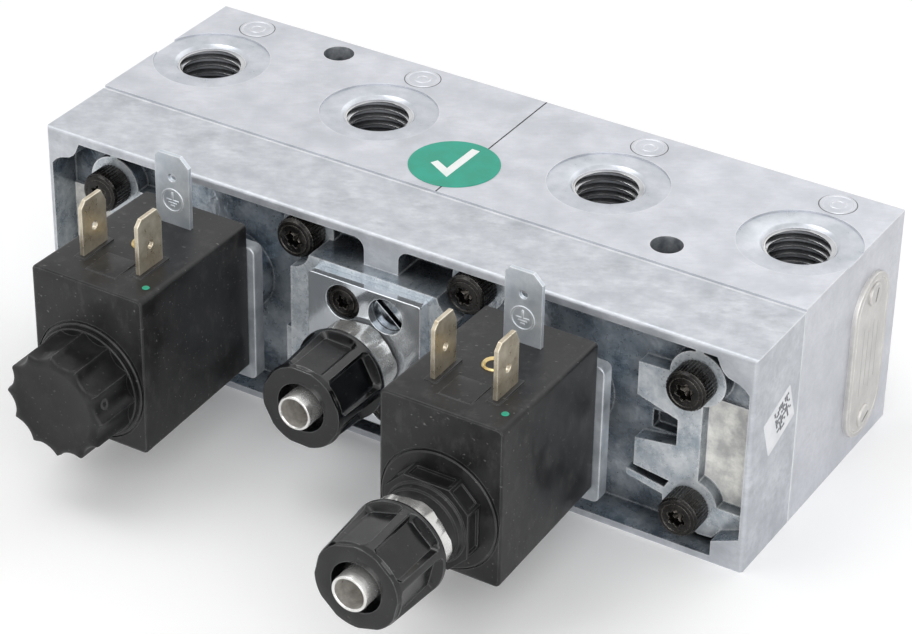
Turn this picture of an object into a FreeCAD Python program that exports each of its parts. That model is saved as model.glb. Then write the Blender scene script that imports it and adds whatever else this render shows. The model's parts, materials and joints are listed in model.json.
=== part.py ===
"""Two-solenoid pneumatic valve block, built in millimetres.

The origin is the middle of the bottom face. X runs along the length, Y from the
coils to the back, Z up. Every piece is one STEP file.
"""
import FreeCAD, Part

import math
import os

VEC = FreeCAD.Vector

# Block
BLOCK_LENGTH = 136.0
BLOCK_DEPTH = 54.0
CASTING_DEPTH = 16.3
CASTING_HEIGHT = 40.2
BODY_HEIGHT = 40.6
GASKET_THICK = 0.5
GASKET_INSET = 0.6
EDGE_ROUND = 0.7
SPLIT_CHAMFER = 0.15

# Recess of the front casting
RECESS_DEPTH = 6.3
RIM_TOP = 1.6
RIM_BOTTOM = 1.2
RIM_END = 1.0
RAISED_DEPTH = 3.5
RIM_GUSSET_BOTTOM = 2.9
RIM_GUSSET_SLOPE = 2.0
GUSSET_WIDTH = 4.8
ROUGH_FLOOR_RISE = 0.4
ROUGH_FLOOR_START = 1.2
ROUGH_FLOOR_BELOW_TOP = 4.2
ROUGH_FLOOR_BELOW_BOTTOM = 0.4
NOTCH_DEPTH = 8.3
NOTCH_GAP = 1.7
NOTCH_HEIGHT = 3.4
WEB_HALF_WIDTH = 3.3
WEB_CORNER = 2.0
ARM_GAP = 1.5
SPINE_WIDTH = 4.2
SPINE_RIB_HALF_WIDTH = 0.7
# Upper gusset's lower edge as (x, z) from the rim's inner corner
GUSSET_TOP_EDGE = (
    (-5.9, 0.0), (-5.5, -0.9), (-5.1, -1.8), (-4.6, -2.5), (-3.8, -3.1), (-2.8, -3.4), (-1.8, -3.7),
    (-0.8, -4.3), (0.0, -5.2),
)
# Arms towards the coil: heights from the upper and the lower screw at the arm's end and at the spine
ARM_UPPER_TOP = -0.3
ARM_UPPER_END = -6.5
ARM_UPPER_SPINE = -8.8
ARM_LOWER_SPINE = 10.3
ARM_LOWER_END = 9.2
ARM_LOWER_FOOT = 4.0
ARM_LOWER_FOOT_SPINE = 3.0
RIB_REACH = 1.2
RIB_END_TOP = 2.9
RIB_END_BOTTOM = 1.7
RIB_ROOT_TOP = 1.3
RIB_ROOT_BOTTOM = -0.3
# Wing from the lower screw to the rim as (x, z) from the screw; None is the rim
WING_EDGE = (
    (0.0, 1.1), (None, 1.1), (None, -2.0), (7.5, -2.1), (5.7, -3.1), (4.3, -4.9), (1.8, -5.1), (0.0, -4.0),
)

# Screws that hold the casting to the two bodies
SCREW_END_GAP = 11.6
SCREW_OUTER_BELOW_TOP = 9.3
SCREW_OUTER_Z_BOTTOM = 6.9
SCREW_INNER_X = 16.4
SCREW_INNER_BELOW_TOP = 5.3
SCREW_INNER_Z_BOTTOM = 5.7
SCREW_HEAD_RADIUS = 3.6
SCREW_HEAD_HEIGHT = 4.6
SCREW_HEAD_EDGE = 0.3
SCREW_SHANK_RADIUS = 2.0
SCREW_HOLE_RADIUS = 2.2
SCREW_REACH = 9.0
SCREW_BORE_SPARE = 0.7
SCREW_BOSS_RADIUS = 4.95
SCREW_HEAD_ROOM = 0.6
SOCKET_DEPTH = 2.3
SOCKET_ROOT_RADIUS = 1.15
SOCKET_LOBE_RADIUS = 0.42
SOCKET_LOBES = 6
SOCKET_TURN = 30.0
SOCKET_LOBE_SHARE = 0.4
KNURL_COUNT = 24
KNURL_DEPTH = 0.12

# Air ports and mounting holes
PORT_INNER_X = 22.65
PORT_END_GAP = 10.05
PORT_Y = 7.8
PORT_RADIUS = 6.0
PORT_THREAD_DEPTH = 13.0
PORT_MOUTH_RADIUS = 6.6
PORT_FACE_RADIUS = 10.4
PORT_FACE_DEPTH = 0.3
PORT_DRILL_RADIUS = 4.0
MOUNT_HOLE_X = 40.3
MOUNT_HOLE_Y_LEFT = 22.1
MOUNT_HOLE_Y_RIGHT = -4.7
MOUNT_HOLE_RADIUS = 2.75

# Spools
SPOOL_Z = 15.5
SPOOL_BORE_RADIUS = 7.0
SPOOL_BORE_PAST_PORT = 6.05
SPOOL_END_BORE_STEP = 0.8
SPOOL_RECESS_RADIUS = 8.4
SPOOL_RECESS_BEFORE_PORT = 6.95
SPOOL_RECESS_PAST_PORT = 4.05
SPOOL_CLEARANCE = 0.05
SPOOL_STEM_RADIUS = 3.0
SPOOL_NUB_RADIUS = 2.5
SPOOL_REST_GAP = 0.05
LAND_A_START = 8.0
LAND_A_END = 13.0
LAND_B_LENGTH = 6.0
LAND_B_BEFORE_PORT = 7.95
SPOOL_TAIL_LENGTH = 6.0
RING_SECTION = 0.9
RING_ROOM = 0.05
RING_A_X = 9.8
PLUG_LENGTH = 5.0
PLUG_RING_X = 2.5
PLUG_SOCKET_RADIUS = 2.0
PLUG_SOCKET_DEPTH = 2.0
PILOT_X = 6.5
PILOT_Z = 20.0
PILOT_RADIUS = 1.0
PILOT_OVERLAP = 2.5
SPOOL_SPRING_MEAN_RADIUS = 4.3
SPOOL_SPRING_WIRE = 0.9
SPOOL_SPRING_TURNS = 6.0

# Solenoid stems
STEM_END_GAP = 35.0
STEM_Z = 20.3
STEM_BOSS_RADIUS = 7.5
PLATE_STAND_OFF = 2.6
PLATE_THICK = 2.6
PLATE_HALF_WIDTH = 11.5
PLATE_BOTTOM = 7.6
PLATE_TOP = 33.2
PLATE_CORNER = 1.2
TUBE_RADIUS = 5.0
TUBE_BORE_RADIUS = 4.2
TUBE_FLANGE_RADIUS = 7.0
TUBE_FLANGE_THICK = 0.8
TUBE_THREAD_RADIUS = 6.0
TUBE_THREAD_REACH = 4.1
SEAT_RADIUS = 5.0
SEAT_THICK = 3.0
NOZZLE_RADIUS = 1.6
NOZZLE_HEIGHT = 0.6
ORIFICE_RADIUS = 0.6
SIDE_HOLE_RADIUS = 0.8
SIDE_HOLE_OFFSET = 3.2
PLUNGER_CLEARANCE = 0.06
PLUNGER_LENGTH = 22.5
PLUNGER_NECK_LENGTH = 5.0
PLUNGER_NECK_RADIUS = 2.9
PLUNGER_SLOT_DEPTH = 0.9
PLUNGER_SLOT_WIDTH = 2.0
PLUNGER_STROKE = 1.2
SEAL_RADIUS = 2.2
SEAL_THICK = 1.6
SEAL_PROUD = 0.2
CORE_BORE_RADIUS = 0.9
CORE_LENGTH = 13.8
PLUNGER_SPRING_MEAN_RADIUS = 3.6
PLUNGER_SPRING_WIRE = 0.5
PLUNGER_SPRING_TURNS = 5.0

# Wire of both kinds of spring
SPRING_STEPS = 12
SPRING_SIDES = 6

# Coils
COIL_HALF_WIDTH = 10.85
COIL_BOTTOM = 9.5
COIL_TOP = 38.5
COIL_LENGTH = 29.8
COIL_DRAFT = 0.6
COIL_CORNER = 1.6
COIL_BORE_RADIUS = 5.1
DISC_RADIUS = 10.3
DISC_HEIGHT = 0.4
WINDING_INNER_RADIUS = 5.9
WINDING_OUTER_RADIUS = 8.8
WINDING_MARGIN = 5.0
BLADE_OFFSET = 5.5
BLADE_THICK = 0.8
BLADE_WIDTH = 6.3
BLADE_HEIGHT = 9.8
BLADE_ROOT = 5.0
BLADE_Y = -52.5
BLADE_CHAMFER = 1.1
BLADE_HOLE_RADIUS = 0.7
BLADE_HOLE_HEIGHT = 4.3
TAB_THICK = 0.8
TAB_WIDTH = 6.7
TAB_HEIGHT = 12.5
TAB_ROOT = 7.5
TAB_Y = -38.7
TAB_SHIFT = 0.5
TAB_CORNER_RIGHT = 1.7
TAB_CORNER_LEFT = 0.8
TAB_HOLE_RADIUS = 0.75
TAB_HOLE_HEIGHT = 8.3
INSERT_Y = -46.9
INSERT_SHIFT = 0.2
INSERT_RADIUS = 2.0
INSERT_HOLE_RADIUS = 1.25
INSERT_DEPTH = 7.0
INSERT_PROUD = 0.1

# Left stem: vented cap nut
CAP_LENGTH = 9.5
CAP_TIP_RADIUS = 9.6
CAP_RIDGES = 12
CAP_SCALLOP_RADIUS = 3.4
CAP_SCALLOP_OFFSET = 11.9
CAP_FLANGE_THICK = 0.8
CAP_FLANGE_RADIUS = 9.7
CAP_THREAD_DEPTH = 6.0
CAP_TUBE_GAP = 0.5
CAP_ROOM_DEPTH = 7.6
CAP_ROOM_RADIUS = 3.6
CAP_VENT_RADIUS = 0.6
CAP_VENT_ANGLE = 15.0
TURN_CLEARANCE = 0.05

# Right stem: coil nut and exhaust fitting
NUT_ACROSS = 14.8
NUT_FLAT = 8.1
NUT_HEIGHT = 3.7
NUT_PANEL_DEPTH = 0.35
NUT_PANEL_MARGIN = 0.8
NECK_REAR_RADIUS = 6.9
NECK_FRONT_RADIUS = 6.1
NECK_LENGTH = 3.6
FITTING_GAP = 0.1
FITTING_STUB = 5.8
FITTING_BODY_LENGTH = 3.0
FITTING_BODY_RADIUS = 7.1
FITTING_HEX_ACROSS = 13.4
FITTING_TURN = 7.0
FITTING_THREAD_RADIUS = 6.0
FITTING_THREAD_LENGTH = 6.0
SPIGOT_RADIUS = 3.075
SPIGOT_BORE_RADIUS = 2.55
SPIGOT_PROUD = 2.1
EXHAUST_BORE_RADIUS = 1.5

# Union nuts
UNION_LENGTH = 12.5
UNION_COLLAR_RADIUS = 8.2
UNION_COLLAR_LENGTH = 2.4
UNION_HEX_ACROSS = 14.0
UNION_CORNER_RADIUS = 7.75
UNION_FACE_RADIUS = 7.2
UNION_RING_LENGTH = 0.6
UNION_FACE_EDGE = 0.2
UNION_HOLE_RADIUS = 4.3
UNION_THREAD_DEPTH = 7.4
UNION_PANEL_DEPTH = 0.5
UNION_PANEL_MARGIN = 0.6
UNION_TURN = 7.0

# Middle: adapter plate, throttle and control fitting
PAD_HALF_WIDTH = 16.0
PAD_LOW_HALF_WIDTH = 17.7
PAD_TOP = 34.0
PAD_STEP_Z = 18.0
PAD_BOTTOM = 6.0
PAD_LOW_SETBACK = 1.2
PAD_LOW_RISE = 4.0
ADAPTER_HALF_WIDTH = 10.8
ADAPTER_TOP = 33.0
ADAPTER_SCREW_X = 4.1
ADAPTER_SCREW_RISE = 8.7
ADAPTER_HEAD_RADIUS = 3.15
ADAPTER_HEAD_HEIGHT = 2.0
ADAPTER_SHANK_RADIUS = 1.5
ADAPTER_SCREW_REACH = 8.0
ADAPTER_HEAD_SUNK = 0.1
ADAPTER_TIP_GAP = 0.5
ADAPTER_SOCKET_RADIUS = 0.92
ADAPTER_SOCKET_DEPTH = 1.2
ADAPTER_LOBE_RADIUS = 0.34
ADAPTER_LOBE_SHIFT = 0.11
THROTTLE_BORE_RADIUS = 3.2
THROTTLE_CLEARANCE = 0.08
THROTTLE_SUNK = 1.5
THROTTLE_BODY_LENGTH = 5.2
THROTTLE_NECK_RADIUS = 1.5
THROTTLE_NECK_LENGTH = 1.6
THROTTLE_NEEDLE_LENGTH = 2.4
THROTTLE_NEEDLE_TIP = 0.3
THROTTLE_SLOT_WIDTH = 1.0
THROTTLE_SLOT_DEPTH = 1.1
THROTTLE_SLOT_TURN = 40.0
THROTTLE_BORE_DEPTH = 6.7
THROTTLE_ROOM_RADIUS = 2.0
THROTTLE_ROOM_LENGTH = 3.0
CONTROL_STUB_RADIUS = 4.8
CONTROL_STUB_LENGTH = 6.0
CONTROL_BORE_DEPTH = 9.7
CONTROL_BODY_LENGTH = 5.1
CONTROL_RING_THICK = 0.8
CONTROL_RING_RADIUS = 6.4
LINK_RADIUS = 0.9
LINK_DEPTH = 1.2
GROOVE_WIDTH = 2.0
CONTROL_GROOVE_WIDTH = 1.6
GROOVE_DEPTH = 1.5
CHANNEL_RADIUS = 1.5
CHANNEL_BEHIND_FLOOR = 4.7
CHANNEL_PLUG_RADIUS = 2.0
CHANNEL_PLUG_LENGTH = 4.0

# Plates and labels
NAMEPLATE_Y = 15.0
NAMEPLATE_WIDTH = 13.0
NAMEPLATE_BOTTOM = 3.1
NAMEPLATE_TOP = 34.2
NAMEPLATE_THICK = 0.8
RIVET_HEAD_RADIUS = 1.5
RIVET_SHANK_RADIUS = 1.0
RIVET_HEAD_HEIGHT = 0.5
RIVET_REACH = 4.0
RIVET_INSET = 3.6
RIVET_SLOT_WIDTH = 0.5
STICKER_X = -2.1
STICKER_Y = -0.9
STICKER_RADIUS = 7.85
STICKER_THICK = 0.12
LABEL_Y = -17.5
LABEL_Z = 24.0
LABEL_LENGTH = 9.3
LABEL_HEIGHT = 7.5
LABEL_TURN = 20.0
LABEL_THICK = 0.1

# Places that follow from the sizes above
HALF_LENGTH = BLOCK_LENGTH / 2
SCREW_OUTER_X = HALF_LENGTH - SCREW_END_GAP
SCREW_OUTER_Z_TOP = CASTING_HEIGHT - SCREW_OUTER_BELOW_TOP
SCREW_INNER_Z_TOP = CASTING_HEIGHT - SCREW_INNER_BELOW_TOP
STEM_X = HALF_LENGTH - STEM_END_GAP
PORT_OUTER_X = HALF_LENGTH - PORT_END_GAP
SPOOL_BORE_END = PORT_OUTER_X + SPOOL_BORE_PAST_PORT
SPOOL_RECESS_START = PORT_OUTER_X - SPOOL_RECESS_BEFORE_PORT
SPOOL_RECESS_END = PORT_OUTER_X + SPOOL_RECESS_PAST_PORT
LAND_B_END = PORT_OUTER_X - LAND_B_BEFORE_PORT
LAND_B_START = LAND_B_END - LAND_B_LENGTH
SPOOL_TAIL_END = LAND_B_END + SPOOL_TAIL_LENGTH
RING_B_X = (LAND_B_START + LAND_B_END) / 2
FRONT_Y = -BLOCK_DEPTH / 2
REAR_Y = BLOCK_DEPTH / 2
CASTING_REAR_Y = FRONT_Y + CASTING_DEPTH
BODY_FRONT_Y = CASTING_REAR_Y + GASKET_THICK
FLOOR_Y = FRONT_Y + RECESS_DEPTH
RAISED_Y = FRONT_Y + RAISED_DEPTH
PLATE_REAR_Y = FRONT_Y - PLATE_STAND_OFF
PLATE_FRONT_Y = PLATE_REAR_Y - PLATE_THICK
COIL_FRONT_Y = PLATE_FRONT_Y - COIL_LENGTH
DISC_FRONT_Y = COIL_FRONT_Y - DISC_HEIGHT
NUT_FRONT_Y = DISC_FRONT_Y - NUT_HEIGHT
NECK_FRONT_Y = NUT_FRONT_Y - NECK_LENGTH
FITTING_REAR_Y = NECK_FRONT_Y - FITTING_GAP
TUBE_REAR_Y = PLATE_REAR_Y + TUBE_THREAD_REACH
SEAT_REAR_Y = TUBE_REAR_Y + SEAT_THICK
NOZZLE_TIP_Y = TUBE_REAR_Y - NOZZLE_HEIGHT
PLUNGER_REAR_Y = NOZZLE_TIP_Y - SEAL_PROUD
PLUNGER_FRONT_Y = PLUNGER_REAR_Y - PLUNGER_LENGTH
CORE_REAR_Y = PLUNGER_FRONT_Y - PLUNGER_STROKE
CORE_FRONT_Y = CORE_REAR_Y - CORE_LENGTH
CHANNEL_Y = FLOOR_Y + CHANNEL_BEHIND_FLOOR
CHANNEL_END_X = STEM_X + CHANNEL_RADIUS
CAP_FRONT_Y = DISC_FRONT_Y - CAP_LENGTH
CAP_TUBE_END_Y = DISC_FRONT_Y - CAP_THREAD_DEPTH + CAP_TUBE_GAP
PORT_FLOOR_Z = BODY_HEIGHT - PORT_THREAD_DEPTH
PLUNGER_RADIUS = TUBE_BORE_RADIUS - PLUNGER_CLEARANCE
SPOOL_RADIUS = SPOOL_BORE_RADIUS - SPOOL_CLEARANCE
SCREW_PLACES = (
    (SCREW_OUTER_X, SCREW_OUTER_Z_TOP),
    (SCREW_OUTER_X, SCREW_OUTER_Z_BOTTOM),
    (SCREW_INNER_X, SCREW_INNER_Z_TOP),
    (SCREW_INNER_X, SCREW_INNER_Z_BOTTOM),
)
ADAPTER_SCREW_PLACES = (
    (-ADAPTER_SCREW_X, STEM_Z + ADAPTER_SCREW_RISE),
    (ADAPTER_SCREW_X, STEM_Z - ADAPTER_SCREW_RISE),
)
THROTTLE_X = ADAPTER_SCREW_X
THROTTLE_Z = STEM_Z + ADAPTER_SCREW_RISE
THROTTLE_BORE_END_Y = PLATE_FRONT_Y + THROTTLE_BORE_DEPTH
THROTTLE_ROOM_END_Y = THROTTLE_BORE_END_Y + THROTTLE_ROOM_LENGTH


def block(x0, x1, y0, y1, z0, z1):
    """Box between two corners."""
    return Part.makeBox(x1 - x0, y1 - y0, z1 - z0, VEC(x0, y0, z0))


def rod_x(y, z, radius, x0, x1):
    """Cylinder along X."""
    return Part.makeCylinder(radius, x1 - x0, VEC(x0, y, z), VEC(1, 0, 0))


def rod_y(x, z, radius, y0, y1):
    """Cylinder along Y."""
    return Part.makeCylinder(radius, y1 - y0, VEC(x, y0, z), VEC(0, 1, 0))


def rod_z(x, y, radius, z0, z1):
    """Cylinder along Z."""
    return Part.makeCylinder(radius, z1 - z0, VEC(x, y, z0), VEC(0, 0, 1))


def cone_y(x, z, radius0, radius1, y0, y1):
    """Cone along Y, radius0 at y0."""
    return Part.makeCone(radius0, radius1, y1 - y0, VEC(x, y0, z), VEC(0, 1, 0))


def prism_y(points, y0, y1):
    """Polygon given in (x, z), extruded along Y."""
    corners = [VEC(x, y0, z) for x, z in points]
    face = Part.Face(Part.makePolygon(corners + corners[:1]))
    return face.extrude(VEC(0, y1 - y0, 0))


def prism_x(points, x0, x1):
    """Polygon given in (y, z), extruded along X."""
    corners = [VEC(x0, y, z) for y, z in points]
    face = Part.Face(Part.makePolygon(corners + corners[:1]))
    return face.extrude(VEC(x1 - x0, 0, 0))


def around(x, z, radius, count, turn=0.0):
    """Points on a circle in the XZ plane."""
    steps = [math.radians(turn + 360.0 * i / count) for i in range(count)]
    return [(x + radius * math.cos(a), z + radius * math.sin(a)) for a in steps]


def hexagon(x, z, across, turn=0.0):
    """Corners of a hexagon by its width across the flats."""
    return around(x, z, across / 2 / math.cos(math.pi / 6), 6, turn)


def joined(shapes):
    """One solid from touching or overlapping shapes."""
    return shapes[0].multiFuse(shapes[1:]).removeSplitter()


def mirrored(shape):
    """The same shape on the other side of the middle plane."""
    return shape.mirror(VEC(0, 0, 0), VEC(1, 0, 0))


def both_sides(shapes):
    """The shapes and their mirror images."""
    return shapes + [mirrored(s) for s in shapes]


def upright_edges(shape, height):
    """Straight edges along Y of the given length."""
    found = []
    for edge in shape.Edges:
        ends = [v.Point for v in edge.Vertexes]
        if len(ends) == 2 and abs(abs(ends[0].y - ends[1].y) - height) < 1e-6:
            if abs(ends[0].x - ends[1].x) < 1e-6 and abs(ends[0].z - ends[1].z) < 1e-6:
                found.append(edge)
    return found


def rounded_plate(x0, x1, y0, y1, z0, z1, corner):
    """Plate facing Y with rounded corners."""
    plate = block(x0, x1, y0, y1, z0, z1)
    return plate.makeFillet(corner, upright_edges(plate, y1 - y0))


def rounded_wire(x, y, z0, z1, half_width, corner):
    """Closed rectangle with round corners in a plane across Y."""
    zm = (z0 + z1) / 2
    half_height = (z1 - z0) / 2
    edges = []
    centre_x = half_width - corner
    centre_z = half_height - corner
    quarter = ((1, 1, 0), (-1, 1, 90), (-1, -1, 180), (1, -1, 270))
    arcs = []
    for sx, sz, start in quarter:
        middle = VEC(x + sx * centre_x, y, zm + sz * centre_z)
        spots = []
        for angle in (start, start + 45, start + 90):
            turn = math.radians(angle)
            spots.append(middle + VEC(corner * math.cos(turn), 0, corner * math.sin(turn)))
        arcs.append(spots)
    for i, spots in enumerate(arcs):
        edges.append(Part.Arc(*spots).toShape())
        edges.append(Part.makeLine(spots[2], arcs[(i + 1) % 4][0]))
    return Part.Wire(edges)


def capsule(x0, z0, x1, z1, width, y0, y1):
    """Slot with round ends between two places in the XZ plane."""
    length = math.hypot(x1 - x0, z1 - z0)
    nx = -(z1 - z0) / length * width / 2
    nz = (x1 - x0) / length * width / 2
    bar = prism_y([(x0 + nx, z0 + nz), (x1 + nx, z1 + nz), (x1 - nx, z1 - nz), (x0 - nx, z0 - nz)], y0, y1)
    return joined([bar, rod_y(x0, z0, width / 2, y0, y1), rod_y(x1, z1, width / 2, y0, y1)])


def spring_z(mean_radius, wire, length, turns):
    """Helical spring of short straight runs, standing on the origin along Z."""
    rise = length - wire
    count = int(round(turns * SPRING_STEPS))
    points = []
    for i in range(count + 1):
        turn = 2 * math.pi * i / SPRING_STEPS
        height = wire / 2 + rise * i / count
        points.append(VEC(mean_radius * math.cos(turn), mean_radius * math.sin(turn), height))
    along = points[1] - points[0]
    inward = VEC(0, 0, 1).cross(along).normalize()
    upward = along.cross(inward).normalize()
    corners = []
    for i in range(SPRING_SIDES):
        turn = 2 * math.pi * i / SPRING_SIDES
        across = inward * math.cos(turn) + upward * math.sin(turn)
        corners.append(points[0] + across * (wire / 2))
    profile = Part.makePolygon(corners + corners[:1])
    return Part.makePolygon(points).makePipeShell([profile], True, False, 1)


def ring_x(y, z, x, outer_radius, section):
    """O-ring round the X direction."""
    ring = Part.makeTorus(outer_radius - section, section, VEC(0, 0, 0), VEC(1, 0, 0))
    ring.translate(VEC(x, y, z))
    return ring


def ring_groove(y, z, x, outer_radius, section):
    """Square groove that holds an O-ring, open to the outside."""
    half = section + RING_ROOM
    outer = rod_x(y, z, outer_radius + 1, x - half, x + half)
    return outer.cut(rod_x(y, z, outer_radius - 2 * section - RING_ROOM, x - half - 1, x + half + 1))


def recess_islands():
    """Raised shapes in the right half of the casting's recess."""
    top = CASTING_HEIGHT - RIM_TOP
    edge = HALF_LENGTH - RIM_END
    upper = SCREW_OUTER_Z_TOP
    lower = SCREW_OUTER_Z_BOTTOM
    sx = SCREW_OUTER_X
    arm_x = STEM_X + PLATE_HALF_WIDTH + ARM_GAP
    spine = sx + ROUGH_FLOOR_START - SPINE_WIDTH
    low_gusset = RIM_BOTTOM + RIM_GUSSET_BOTTOM
    upper_gusset = [(edge + dx, top + dz) for dx, dz in GUSSET_TOP_EDGE] + [(edge, top)]
    lower_gusset = [
        (edge - GUSSET_WIDTH, RIM_BOTTOM), (edge, RIM_BOTTOM), (edge, low_gusset + RIM_GUSSET_SLOPE),
        (edge - GUSSET_WIDTH, low_gusset),
    ]
    arms = [
        (arm_x, upper + ARM_UPPER_TOP), (arm_x, upper + ARM_UPPER_END), (spine, upper + ARM_UPPER_SPINE),
        (spine, lower + ARM_LOWER_SPINE), (arm_x, lower + ARM_LOWER_END), (arm_x, lower + ARM_LOWER_FOOT),
        (spine, lower + ARM_LOWER_FOOT_SPINE), (sx, lower), (sx + ROUGH_FLOOR_START, lower),
        (sx + ROUGH_FLOOR_START, upper), (sx, upper),
    ]
    rib = [
        (arm_x - RIB_REACH, lower + RIB_END_TOP), (arm_x - RIB_REACH, lower + RIB_END_BOTTOM),
        (spine, lower + RIB_ROOT_BOTTOM), (spine, lower + RIB_ROOT_TOP),
    ]
    wing = [(edge if dx is None else sx + dx, lower + dz) for dx, dz in WING_EDGE]
    shapes = [
        prism_y(upper_gusset, FRONT_Y, FLOOR_Y),
        prism_y(lower_gusset, FRONT_Y, FLOOR_Y),
        prism_y(arms, RAISED_Y, FLOOR_Y),
        prism_y(rib, RAISED_Y, FLOOR_Y),
        block(sx - SPINE_RIB_HALF_WIDTH, sx + SPINE_RIB_HALF_WIDTH, RAISED_Y, FLOOR_Y, upper, top),
        prism_y(wing, RAISED_Y, FLOOR_Y),
        block(sx + ROUGH_FLOOR_START, edge, FLOOR_Y - ROUGH_FLOOR_RISE, FLOOR_Y,
              lower - ROUGH_FLOOR_BELOW_BOTTOM, upper - ROUGH_FLOOR_BELOW_TOP),
        rod_y(STEM_X, STEM_Z, STEM_BOSS_RADIUS, PLATE_REAR_Y, FLOOR_Y),
    ]
    shapes += [rod_y(x, z, SCREW_BOSS_RADIUS, RAISED_Y, FLOOR_Y) for x, z in SCREW_PLACES]
    return shapes


def web_corner(side):
    """Round inner corner between the web and the rim above it."""
    top = CASTING_HEIGHT - RIM_TOP
    x0, x1 = sorted((side * WEB_HALF_WIDTH, side * (WEB_HALF_WIDTH + WEB_CORNER)))
    fill = block(x0, x1, FRONT_Y, FLOOR_Y, top - WEB_CORNER, top)
    x = side * (WEB_HALF_WIDTH + WEB_CORNER)
    return fill.cut(rod_y(x, top - WEB_CORNER, WEB_CORNER, FRONT_Y - 1, FLOOR_Y + 1))


def middle_pad():
    """Pad that carries the adapter plate, with its web up to the rim."""
    low_y = PLATE_REAR_Y + PAD_LOW_SETBACK
    half = PAD_HALF_WIDTH
    low_half = PAD_LOW_HALF_WIDTH
    pad = [
        rounded_plate(-half, half, PLATE_REAR_Y, FLOOR_Y, PAD_BOTTOM, PAD_TOP, PLATE_CORNER),
        block(-low_half, low_half, low_y, FLOOR_Y, PAD_BOTTOM + PAD_LOW_RISE, PAD_STEP_Z),
        block(-WEB_HALF_WIDTH, WEB_HALF_WIDTH, FRONT_Y, FLOOR_Y, PAD_TOP - 1.0, CASTING_HEIGHT - RIM_TOP),
        web_corner(-1),
        web_corner(1),
    ]
    room = [
        rod_y(s * x, z, SCREW_HEAD_RADIUS + SCREW_HEAD_ROOM, PLATE_REAR_Y - 1.0, RAISED_Y)
        for x, z in SCREW_PLACES[2:]
        for s in (-1, 1)
    ]
    return joined(pad).cut(Part.makeCompound(room))


def front_casting():
    """Front casting with its recess, bosses, pads and air channels."""
    shell = block(-HALF_LENGTH, HALF_LENGTH, FRONT_Y, CASTING_REAR_Y, 0, CASTING_HEIGHT)
    inside = HALF_LENGTH - RIM_END
    recess = block(-inside, inside, FRONT_Y - 1, FLOOR_Y, RIM_BOTTOM, CASTING_HEIGHT - RIM_TOP)
    islands = both_sides(recess_islands())
    body = joined([shell.cut(recess)] + islands)
    body = joined([body, middle_pad()])
    outline = block(-HALF_LENGTH, HALF_LENGTH, PLATE_REAR_Y - 1, CASTING_REAR_Y, 0, CASTING_HEIGHT)
    body = body.common(outline)
    holes = []
    notch_x = STEM_X + PLATE_HALF_WIDTH + ARM_GAP + NOTCH_GAP
    notch_z = SCREW_OUTER_Z_BOTTOM + ARM_LOWER_SPINE
    spine = SCREW_OUTER_X + ROUGH_FLOOR_START - SPINE_WIDTH
    notch = block(notch_x, spine, RAISED_Y - 1, FRONT_Y + NOTCH_DEPTH, notch_z, notch_z + NOTCH_HEIGHT)
    holes += both_sides([notch])
    for x, z in SCREW_PLACES:
        holes += both_sides([rod_y(x, z, SCREW_HOLE_RADIUS, RAISED_Y - 1, CASTING_REAR_Y + 1)])
    side_z = STEM_Z + SIDE_HOLE_OFFSET
    groove_y = CASTING_REAR_Y - GROOVE_DEPTH
    for side in (-1, 1):
        x = side * STEM_X
        holes += [
            rod_y(x, STEM_Z, TUBE_THREAD_RADIUS, PLATE_REAR_Y - 1, TUBE_REAR_Y),
            rod_y(x, STEM_Z, SEAT_RADIUS, TUBE_REAR_Y, SEAT_REAR_Y),
            rod_y(x, STEM_Z, PILOT_RADIUS, SEAT_REAR_Y, CHANNEL_Y),
            rod_y(x, side_z, SIDE_HOLE_RADIUS, SEAT_REAR_Y, CASTING_REAR_Y + 1),
            capsule(x, side_z, side * PILOT_X, PILOT_Z, GROOVE_WIDTH, groove_y, CASTING_REAR_Y + 1),
        ]
    holes += [
        rod_x(CHANNEL_Y, STEM_Z, CHANNEL_RADIUS, -HALF_LENGTH - 1, CHANNEL_END_X),
        rod_x(CHANNEL_Y, STEM_Z, CHANNEL_PLUG_RADIUS, -HALF_LENGTH - 1, -HALF_LENGTH + CHANNEL_PLUG_LENGTH),
        rod_y(0, STEM_Z, CONTROL_STUB_RADIUS, PLATE_REAR_Y - 1, PLATE_FRONT_Y + CONTROL_BORE_DEPTH),
        rod_y(THROTTLE_X, THROTTLE_Z, THROTTLE_BORE_RADIUS, PLATE_REAR_Y - 1, THROTTLE_BORE_END_Y),
        rod_y(THROTTLE_X, THROTTLE_Z, THROTTLE_ROOM_RADIUS, THROTTLE_BORE_END_Y - 1, THROTTLE_ROOM_END_Y),
        rod_y(THROTTLE_X, THROTTLE_Z, PILOT_RADIUS, THROTTLE_BORE_END_Y, CASTING_REAR_Y + 1),
        capsule(THROTTLE_X, THROTTLE_Z, THROTTLE_X, STEM_Z, CONTROL_GROOVE_WIDTH, groove_y,
                CASTING_REAR_Y + 1),
        rod_y(THROTTLE_X, STEM_Z, CONTROL_GROOVE_WIDTH / 2, CHANNEL_Y, CASTING_REAR_Y + 1),
        link_drilling(),
    ]
    for x, z in ADAPTER_SCREW_PLACES:
        holes.append(rod_y(x, z, ADAPTER_SHANK_RADIUS, PLATE_REAR_Y - 1, PLATE_REAR_Y + ADAPTER_SCREW_REACH))
    body = body.cut(Part.makeCompound(holes))
    return eased(body, CASTING_HEIGHT, FRONT_Y)


def link_drilling():
    """Drilling from the control fitting's bore to the throttle's chamber."""
    y = THROTTLE_BORE_END_Y + LINK_DEPTH
    start = VEC(0, y, STEM_Z)
    end = VEC(THROTTLE_X, y, THROTTLE_Z)
    way = end - start
    return Part.makeCylinder(LINK_RADIUS, way.Length, start, way)


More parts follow.
